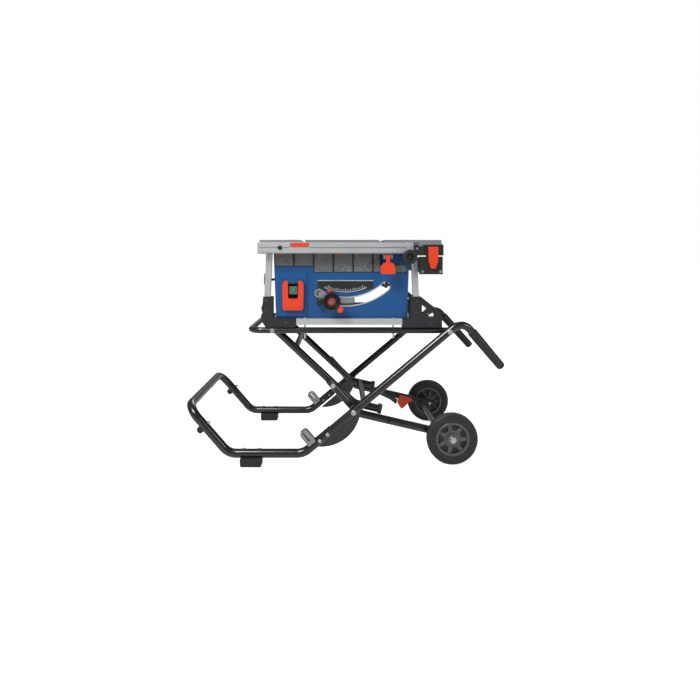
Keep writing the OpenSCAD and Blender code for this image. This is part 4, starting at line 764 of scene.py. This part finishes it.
piece("crank_arm", [prism(arm, WHEEL_FACE - 7, WHEEL_FACE - 1)], black_nylon, "crank")
grip_x, grip_z = on_wheel(CRANK_DEGREES, [(46, 0)])[0]
piece("crank_knob", [lathe([(0, 0), (8, 0), (9.4, 2), (11.6, 6), (12, 9), (11, 11.6), (7.6, 13), (0, 13.2)],
                           (grip_x, WHEEL_FACE - 6.8, grip_z), (0, -1, 0), 48)], red_abs, "crank")

# ---------------------------------------------------------------------------------------------------------
# Bevel lock. A zinc-plated steel plate with teeth, a star washer and its boss on the cradle, a fluted black
# knob on the plate's stud, and a red pointer on the plate.

dress(zinc, "bevel_lever")
soften(0.8, "bevel_lever")
STAR_FACE = -269.5
star_x, star_z = shaft + (-52, 28)
star_turn = np.radians(18 * np.arange(20)[:, None] + (-4, 4)).ravel()
star_radius = np.tile((15.5, 15.5, 21.0, 21.0), 10)
star = np.column_stack([star_x + star_radius * np.cos(star_turn), star_z + star_radius * np.sin(star_turn)])
piece("bevel_star", [prism(star, STAR_FACE, -265.2)], zinc, "cradle")
piece("bevel_star_boss", [hoop([(5, 1.4), (9.6, 1.4), (11, 0.4), (11, -1), (5, -1)],
                               (star_x, STAR_FACE, star_z), (0, -1, 0), 48)], black_nylon, "cradle")
stud_x, stud_z = shaft + (-49, -6)
knob = lathe([(0, 0), (5, 0.4), (11, 0), (13.4, 1.2), (14, 3), (14, 16), (13.2, 18.6), (9, 19.4), (0, 19.4)],
             (stud_x, -297.5, stud_z), (0, 1, 0), 96, flutes=10, flute_depth=1.3, flute_from=12)
piece("bevel_knob", [knob], black_nylon, "bevel_latch")
pointer = shaft + [(-16, 33), (-3, 34), (-1, 41), (-10, 47), (-19, 41)]
piece("bevel_pointer", [prism(pointer, -268.5, -265.2)], red_abs, "bevel_latch")

# ---------------------------------------------------------------------------------------------------------
# Fence rails. Extruded and clear-anodised aluminium, with racks along their lower edges. On the front one
# sit a black round cap, a plain red pointer window and the rail's screws. Both have a small end stop.

dress(rail_aluminium, "front_rail", "rear_rail")
soften(0.5, "front_rail", "rear_rail")
low, high = span("front_rail")
rail_front = low[1]
rail_line = high[2] - 21
piece("rail_cap", [lathe([(0, 0), (5, 0), (6.2, -1.2), (8.6, -0.6), (9.2, 0.8), (9.2, 3.5), (0, 3.5)],
                         (-260, rail_front - 2.6, rail_line), (0, 1, 0), 48)], black_nylon, "extension")
# A dark rubber strip behind the front rail's rack teeth: painted shade under the rail, against which the
# teeth show dark.
piece("rack_shade_strip", [block((low[0] + 16, rail_front + 7, low[2] + 0.2),
                                (238, rail_front + 9, low[2] + 7))],
      rubber, "extension")
# Thin black strips proud of the front rail along its groove: painted shade in the groove.
piece("rail_groove_shade_lines", [block((start, rail_front - 0.25, rail_line - 1),
                             (end, rail_front + 0.2, rail_line + 1))
                       for start, end in ((low[0] + 6, -224), (-141, 240))], black_nylon, "extension")
window = block((-220, rail_front - 1.4, rail_line + 3), (-145, rail_front + 0.4, rail_line + 19))
piece("pointer_window", [window], red_abs, "extension")
screw_head = [(0, 0.7), (1.6, 0.7), (1.7, 0), (3.2, 0.1), (3.8, 0.8), (3.8, 2.4), (0, 2.4)]
piece("rail_screws", [lathe(screw_head, (x, rail_front - proud, rail_line + above), (0, 1, 0), 24)
                      for x, proud, above in ((-214, 2.1, 11), (-151, 2.1, 11), (106, 1.6, 0), (40, 1.6, 0),
                                              (-96, 1.6, 0))], zinc, "extension")
end_stop = [(low[0] - 0.2, high[2] - 22), (low[0] - 0.2, low[2] + 4), (low[0] + 3, low[2] + 1),
            (low[0] + 3, high[2] - 4), (low[0] + 1, high[2] - 8)]
for where, y in (("front", low[1] + 3.5), ("rear", -low[1] - 22.5)):
    piece(f"rail_end_stop_{where}", [prism(end_stop, y, y + 19)], black_nylon, "extension")

# ---------------------------------------------------------------------------------------------------------
# End block. The black moulding that ties both rails and carries the stored aluminium fence: a clamp jaw at
# the top left, a recess behind the lever, and screws at its corners. The lever that holds the fence is red,
# with a ridge.

fence_aluminium = drawn_aluminium("anodised_fence_aluminium", "#a6a8aa", "#bbbdbf", 0.42, 1.3, "Y")
dress(black_nylon, "fence_head")
dress(red_abs, "fence_lever")
dress(fence_aluminium, "fence_bar")
soften(1.6, "fence_head", segments=3)
low, high = span("fence_lever")
for name, x, z in (("upper", 281, 862), ("lower", 303, 772), ("right", 374, 772)):
    bolt = lathe([(0, 1.2), (2.6, 1.2), (2.8, 0), (4.6, 0.2), (5.4, 1.2), (5.4, 3.6), (0, 3.6)],
                 (x, low[1] + 10.4, z), (0, 1, 0), 32)
    piece(f"end_block_screw_{name}", [bolt], zinc, "extension")
lever_x, hinge_z = (low[0] + high[0]) / 2, high[2] - 6


def even_outline(x, right_side):
    """A symmetric outline: points (distance right of x, z) down the right side, then mirrored, back up."""
    right_side = np.array(right_side, float)
    return np.vstack([right_side, right_side[::-1] * (-1, 1)]) + (x, 0)


lever = even_outline(lever_x, [(19.5, hinge_z + 4.4), (19.7, hinge_z - 4), (18.5, hinge_z - 54),
                               (14, hinge_z - 64), (9, hinge_z - 81)])
piece("fence_lever_shell", [prism(lever, low[1], low[1] + 11.6)], red_abs, "fence_latch", "fence_lever")
crest = even_outline(lever_x, [(13, hinge_z - 3), (12, hinge_z - 9)])
piece("fence_lever_ridge", [prism(crest, low[1] - 0.8, low[1] + 2)], red_abs, "fence_latch")
piece("fence_lever_pin", [lathe([(0, 0), (2.6, 0), (2.9, 0.4), (2.9, 47.6), (2.6, 48), (0, 48)],
                                (lever_x - 24, low[1] + 6, hinge_z), (1, 0, 0), 24)], zinc, "fence_latch")
soften(1.0, "fence_bar")

# ---------------------------------------------------------------------------------------------------------
# Rail lock. A red ABS lever with a slim neck under the table's front edge, a barrel hinge and a broad thumb
# pad. The barrel is a deeper red: painted shade under the table's edge.

# A darker copy of the red ABS: painted shade on the barrel under the table's front edge.
shaded_red_abs = moulded("moulded_red_abs_painted_shade", "#b02c12", "#bd3418", 0.36, 0.9, 0.08)
dress(red_abs, "rail_lock_lever")
low, high = span("rail_lock_lever")
mid_x = (low[0] + high[0]) / 2
pad_top = low[2] + 44
thumb_pad = even_outline(mid_x, [(16, pad_top), (24, pad_top - 5), (26, pad_top - 14), (29, low[2] + 5),
                                 (26, low[2])])
piece("rail_lock_pad", [prism(thumb_pad, low[1], low[1] + 13.6)], red_abs, "rail_lock", "rail_lock_lever")
neck = even_outline(mid_x, [(9, pad_top - 3), (7.5, pad_top + 14), (9, high[2] - 1)])
piece("rail_lock_neck", [prism(neck, low[1] + 3, low[1] + 13)], red_abs, "rail_lock")
barrel = lathe([(0, 0), (5, 0), (5.9, 0.8), (5.9, 25.2), (5, 26), (0, 26)],
               (mid_x - 13, low[1] + 10, high[2] - 6), (1, 0, 0), 32)
piece("rail_lock_barrel", [barrel], shaded_red_abs, "rail_lock")

# ---------------------------------------------------------------------------------------------------------
# Rack knob. A wide black nylon knob with a knurled ring, a stepped face and a deep bore, closed by a rubber
# plug.

dress(black_nylon, "rack_knob")
low, high = span("rack_knob")
depth = high[1] - low[1]
on_rack_shaft = (((low[0] + high[0]) / 2, low[1], (low[2] + high[2]) / 2), (0, 1, 0))
knob_ring = [(14, depth), (28, depth), (28.6, depth - 1), (28.9, depth - 3), (28.9, 6), (28.2, 3.4),
             (25.6, 1.4), (23.6, 2.4), (21.8, 2.4), (20, 0.4), (16.2, 0), (14.6, 0.6), (14, 2)]
piece("rack_knob_ring", [hoop(knob_ring, *on_rack_shaft, 240, flutes=30, flute_depth=1.5, flute_from=27)],
      black_nylon, "rack_drive", "rack_knob")
knob_core = [(6.1, depth - 0.4), (13.8, depth - 0.4), (13.8, 11), (10, 9.4), (7.4, 9), (6.1, 9.6)]
piece("rack_knob_core", [hoop(knob_core, *on_rack_shaft, 64)], black_nylon, "rack_drive")
knob_plug = [(0, 6.4), (2.4, 6.4), (5.8, 7.4), (6.0, 8.6), (6.0, 12), (0, 12)]
piece("rack_knob_plug", [lathe(knob_plug, *on_rack_shaft, 32)], rubber, "rack_drive")

# ---------------------------------------------------------------------------------------------------------
# Housing. Blue moulded ABS with rounded edges, a crease at the right of the raised switch panel, a hem
# along the bottom, screws, and ribs that stiffen the side and back walls. Its sides lean in towards the
# bottom.

SIDE_TAPER = 10.0
WALL_FRONT, WALL_BACK = -262.0, 262.0
VENT_PITCH = 10
blue_abs = moulded("moulded_blue_abs", "#0a4478", "#0f4f88", 0.34, 0.9, 0.10)
dress(blue_abs, "housing")
soften(1.2, "housing", segments=3)
low, high = span("housing")


def side_in(z):
    """How far the housing's sides have leaned in at that height."""
    return SIDE_TAPER * (high[2] - z) / (high[2] - low[2])


crease = prism([(-162, 600), (-157.5, 596), (-155.5, 612), (-155.5, 762), (-158, 770), (-162, 772)],
               WALL_FRONT - 5.2, WALL_FRONT + 0.6)
piece("panel_crease", [crease], blue_abs, "platform")
piece("housing_hem", [block((-278, y, 583), (247, y + 2.1, 588.5))
                      for y in (WALL_FRONT - 1.6, WALL_BACK - 0.5)],
      blue_abs, "platform")
wall_ribs = []
for x, foot in ((-262, 612), (-214, 612), (-166, 612), (-8, 612), (40, 612), (86, 714)):
    wall_ribs.append(block((x - 1.6, WALL_BACK - 0.4, foot), (x + 1.6, WALL_BACK + 2.6, 826)))
for y in range(-200, 201, 50):
    for side_x, facing, top in ((low[0], -1, 828), (high[0], 1, 806)):
        foot_x, head_x = side_x - facing * side_in(676), side_x - facing * side_in(top)
        if facing < 0 or y < 170:
            rib_outline = [(foot_x + facing * 1.9, 676), (head_x + facing * 1.9, top),
                           (head_x - facing * 0.6, top), (foot_x - facing * 0.6, 676)]
            wall_ribs.append(prism(rib_outline, y - 1.6, y + 1.6))
piece("housing_ribs", wall_ribs, blue_abs, "platform")
vents = [prism([(-136, z), (-24, z), (-26, z + 4), (-138, z + 4)], WALL_BACK - 0.2, WALL_BACK + 0.5)
         for z in 756 + VENT_PITCH * np.arange(7)]
piece("motor_vents", vents, black_nylon, "platform")
piece("motor_vent_louvres", [block((-140, WALL_BACK - 0.2, z), (-20, WALL_BACK + 3.0, z + 1.6))
                             for z in 755 + VENT_PITCH * np.arange(8)], blue_abs, "platform")
screw_head = [(0, 1.0), (1.8, 1.0), (2.0, 1.8), (3.8, 1.7), (4.6, 0.9), (4.6, -0.6), (0, -0.6)]
piece("housing_screws", [lathe(screw_head, (x, facing * WALL_BACK, z), (0, facing, 0), 24)
                         for x, z, facing in ((-274, 600, -1), (242, 600, -1), (244, 760, -1), (-274, 600, 1),
                                              (243, 600, 1), (-280, 838, 1), (250, 760, 1), (-90, 838, 1))],
      dark_steel, "platform")

# ---------------------------------------------------------------------------------------------------------
# Blank plates. A row of plates with speckled grey printed film under the table's edge, left blank, on a black
# ground that shows as the gaps between them. Above the plates the ground rises as a strip of painted shade
# behind the front rail's rack teeth.


def printed_film():
    """Printed film: dark grey with a fine even speckle, drawn coarser than it is so that it shows."""
    finish, tree = new_finish("printed_grey_film")
    place = add(tree, "ShaderNodeTexCoord")
    speckle = noise(tree, place, 3.4, 4.0, 0.7)
    spread = add(tree, "ShaderNodeMapRange", {"From Min": 0.38, "From Max": 0.62},
                 {"Value": (speckle, "Fac")})
    tone = add(tree, "ShaderNodeMix", {"A": linear("#3f4142"), "B": linear("#77797a")},
               {"Factor": (spread, "Result")}, data_type="RGBA")
    close_finish(tree, {"IOR": 1.5, "Roughness": 0.42}, {"Base Color": (tone, "Result")})
    return finish


dress(printed_film(), "blank_panels")
low, high = span("blank_panels")
# The ground's top stands 4.5 mm above the plates: that strip is painted shade behind the rail's rack teeth.
back, ground_and_shade_top = high[1], high[2] + 4.5
plate_ground = [block((left, back - 0.5, bottom), (right, back + 0.2, top)) for left, right, bottom, top in (
    (low[0] - 3, low[0] + 156, high[2] - 52, ground_and_shade_top), (low[0] + 156, 134, low[2] - 3, ground_and_shade_top),
    (134, high[0] + 3, low[2] - 3, low[2] + 29))]
piece("plate_ground", plate_ground, black_nylon, "platform")
piece("lock_window_backing", [block((152, -257.6, 797), (222, -255.6, 845))], blue_abs, "platform")
soften(0.25, "blank_panels")
piece("plate_edge_tabs", [block((x, low[1] - 0.5, high[2] - 8.5), (x + 26, low[1] + 0.3, high[2] - 4.5))
                          for x in (low[0] + 3, low[0] + 243)], red_abs, "platform")
piece("plate_edge_notches", [lathe([(0, -0.3), (2.2, -0.3), (2.2, 0.4), (0, 0.4)],
                                   (low[0] + 80 * k - 7, low[1], high[2] - 6 - 8.5 * j), (0, -1, 0), 16)
                             for k in range(1, 6) for j in range(6)], black_nylon, "platform")

# ---------------------------------------------------------------------------------------------------------
# Corner feet and posts. The feet are ribbed black mouldings; the posts are square anodised extrusions with
# a groove in each face, which slant outwards a little. Bolts tie posts, feet and platform together.

POST_SLANT = math.tan(math.radians(2.5))
POST_Y, FOOT_BOLT_Y = 268.5, 284.6
post_aluminium = drawn_aluminium("anodised_post_aluminium", "#b8babc", "#ced0d1", 0.42, 1.3, "Z", 0.75)
dress(post_aluminium, "posts")
dress(black_nylon, "left_feet", "right_feet")
dress(rail_aluminium, "base_rails")
soften(2.2, "left_feet", "right_feet", segments=3)
soften(0.8, "base_rails")
low, high = span("posts")
quarter = np.array([(-12, 11), (-11, 12), (-2.6, 12), (-1.6, 10.4), (1.6, 10.4), (2.6, 12), (11, 12)])
post_section = np.vstack([quarter, quarter[:, ::-1] * (1, -1), -quarter, quarter[:, ::-1] * (-1, 1)])


def slanted_post(head_x, outward, y):
    """A post from foot to head: the section, moved outwards by the slant times its depth below the head."""
    return loft([np.insert(post_section + (head_x + outward * POST_SLANT * (high[2] - z), y), 2, z, axis=1)
                 for z in (low[2] + 0.6, high[2])])


posts = [slanted_post(head_x, outward, side * POST_Y) for head_x, outward in ((-307.0, -1), (276.0, 1))
         for side in (-1, 1)]
piece("post_extrusions", posts, post_aluminium, "platform", "posts")
bolt_head = [(0, 0), (2.2, 0), (2.6, 1.4), (4.4, 1.2), (6.2, 0.2), (7.0, -1.2), (7.0, -3), (0, -3)]
piece("foot_bolts", [lathe(bolt_head, (x, side * FOOT_BOLT_Y, z), (0, side, 0), 24)
                     for x, z in ((-318, 652), (-318, 612), (288, 650), (288, 604), (-240, 562), (344, 562))
                     for side in (-1, 1)], dark_steel, "platform")
braces = []
for y in (-276, 276):
    heel, tip = np.array((316.0, y, 586.0)), np.array((342.0, y, 610.0))
    braces.append(bar(np.linspace(heel, tip, 3), 4.2, (0, 1, 0), 20))
    braces.append(lathe([(0, 0), (6.6, 0), (7.6, 1), (7.6, 6), (6.6, 7), (0, 7)], heel + (tip - heel) * 0.25,
                        tip - heel, 6))
    braces.append(lathe([(0, 0), (8.0, 0), (8.8, 0.8), (8.8, 2.2), (0, 2.2)], heel + (tip - heel) * 0.55,
                        tip - heel, 32))
piece("foot_brace_bolts", braces, zinc, "platform")

# ---------------------------------------------------------------------------------------------------------
# Table. Die-cast aluminium, ground flat, with mitre slots and ribs below, and a wing of the same finish.
# The red throat plate has levelling screws and a rim round its finger hole.

ground_aluminium = drawn_aluminium("ground_cast_aluminium", "#a9abad", "#c6c8ca", 0.34, 1.1, "Y")
dress(ground_aluminium, "table_top", "wing_table")
dress(red_abs, "throat_plate")
soften(0.6, "table_top")
soften(0.8, "wing_table")
soften(0.5, "throat_plate")
TABLE_Z = 898.0
screw_head = [(0, -0.9), (1.6, -0.9), (1.8, 0.0), (3.4, -0.02), (3.6, -0.3), (3.6, -1.5), (0, -1.5)]
piece("throat_levelling_screws", [lathe(screw_head, (x, y, TABLE_Z), (0, 0, 1), 24) for x in (-36, 36)
                                  for y in (-170, -60, 60, 150)], dark_steel, "platform")
hole_rim = [(9.1, -0.1), (11.4, -0.1), (11.4, 0.0), (10.6, -0.02), (9.4, -0.5), (9.1, -1.0)]
piece("throat_finger_hole", [hoop(hole_rim, (0, 168, TABLE_Z), (0, 0, 1), 48)], red_abs, "platform")

# ---------------------------------------------------------------------------------------------------------
# Works under the table. Cast aluminium cradle and carriage, turned shafts and screw, the motor with its end
# bell, and the ground steel blade with brazed carbide tips. At the left side sits the storage knob.

blade_steel = plated_steel("ground_blade_steel", "#a5a8ab", "#c3c6c9", 0.22, 0.34, 8)
carbide = plated_steel("brazed_carbide", "#6c6e72", "#83868b", 0.3, 0.4, 3)
dress(ground_aluminium, "tilt_cradle", "carriage")
dress(turned, "slide_rods", "crank_shaft", "lift_screw", "arbor", "blade_nut", "pinion_shaft")
dress(blade_steel, "saw_blade", "riving_knife")
dress(black_nylon, "motor", "dust_port", "cord_gland", "storage_knob")
soften(0.4, "crank_shaft", "lift_screw", "riving_knife", "pinion_shaft")
soften(0.5, "blade_nut")
soften(0.6, "cord_gland")
soften(0.7, "tilt_cradle")
soften(1.0, "dust_port")
soften(1.4, "motor")
soften(1.6, "carriage")
low, high = span("motor")
bell = lathe([(0, -0.2), (9, -0.2), (10, 1), (10, 3), (24, 5), (32, 4), (33.2, 5), (33.2, 10.5), (0, 10.5)],
             (low[0] + 0.4, (low[1] + high[1]) / 2, (low[2] + high[2]) / 2), (1, 0, 0))
piece("motor_end_bell", [bell], black_nylon, "lift")
low, high = span("storage_knob")
knob = lathe([(0, 0), (8, 0), (10, 1.6), (20, 2.4), (25, 1), (27.2, 2.4), (27.8, 5), (27.8, 11), (26, 13.6),
              (12.4, 14), (11.6, 15.5), (11.6, 22), (5, 22), (5, 50), (0, 50)],
             (low[0] + 0.2, (low[1] + high[1]) / 2, (low[2] + high[2]) / 2), (1, 0, 0), 180, flutes=15,
             flute_depth=1.6, flute_from=24)
piece("storage_knob_fluted", [knob], black_nylon, "side_knob", "storage_knob")
low, high = span("saw_blade")
blade_mid = np.array((0.0, (low[1] + high[1]) / 2, (low[2] + high[2]) / 2))
blade_radius = (high[2] - low[2]) / 2
TIP_COUNT = 24
TIP_HALF = 1.6
tip_reach = blade_radius - np.array((0.1, 0.1, 7, 7))
tips = []
for k in range(TIP_COUNT):
    tip_turn = 2 * np.pi / TIP_COUNT * (k + np.array((0.02, 0.20, 0.20, 0.02)))
    around = np.column_stack([0 * tip_turn, np.cos(tip_turn), np.sin(tip_turn)])
    corners = blade_mid + tip_reach[:, None] * around
    tips.append(loft([corners - (TIP_HALF, 0, 0), corners + (TIP_HALF, 0, 0)]))
piece("blade_tips", tips, carbide, "blade")
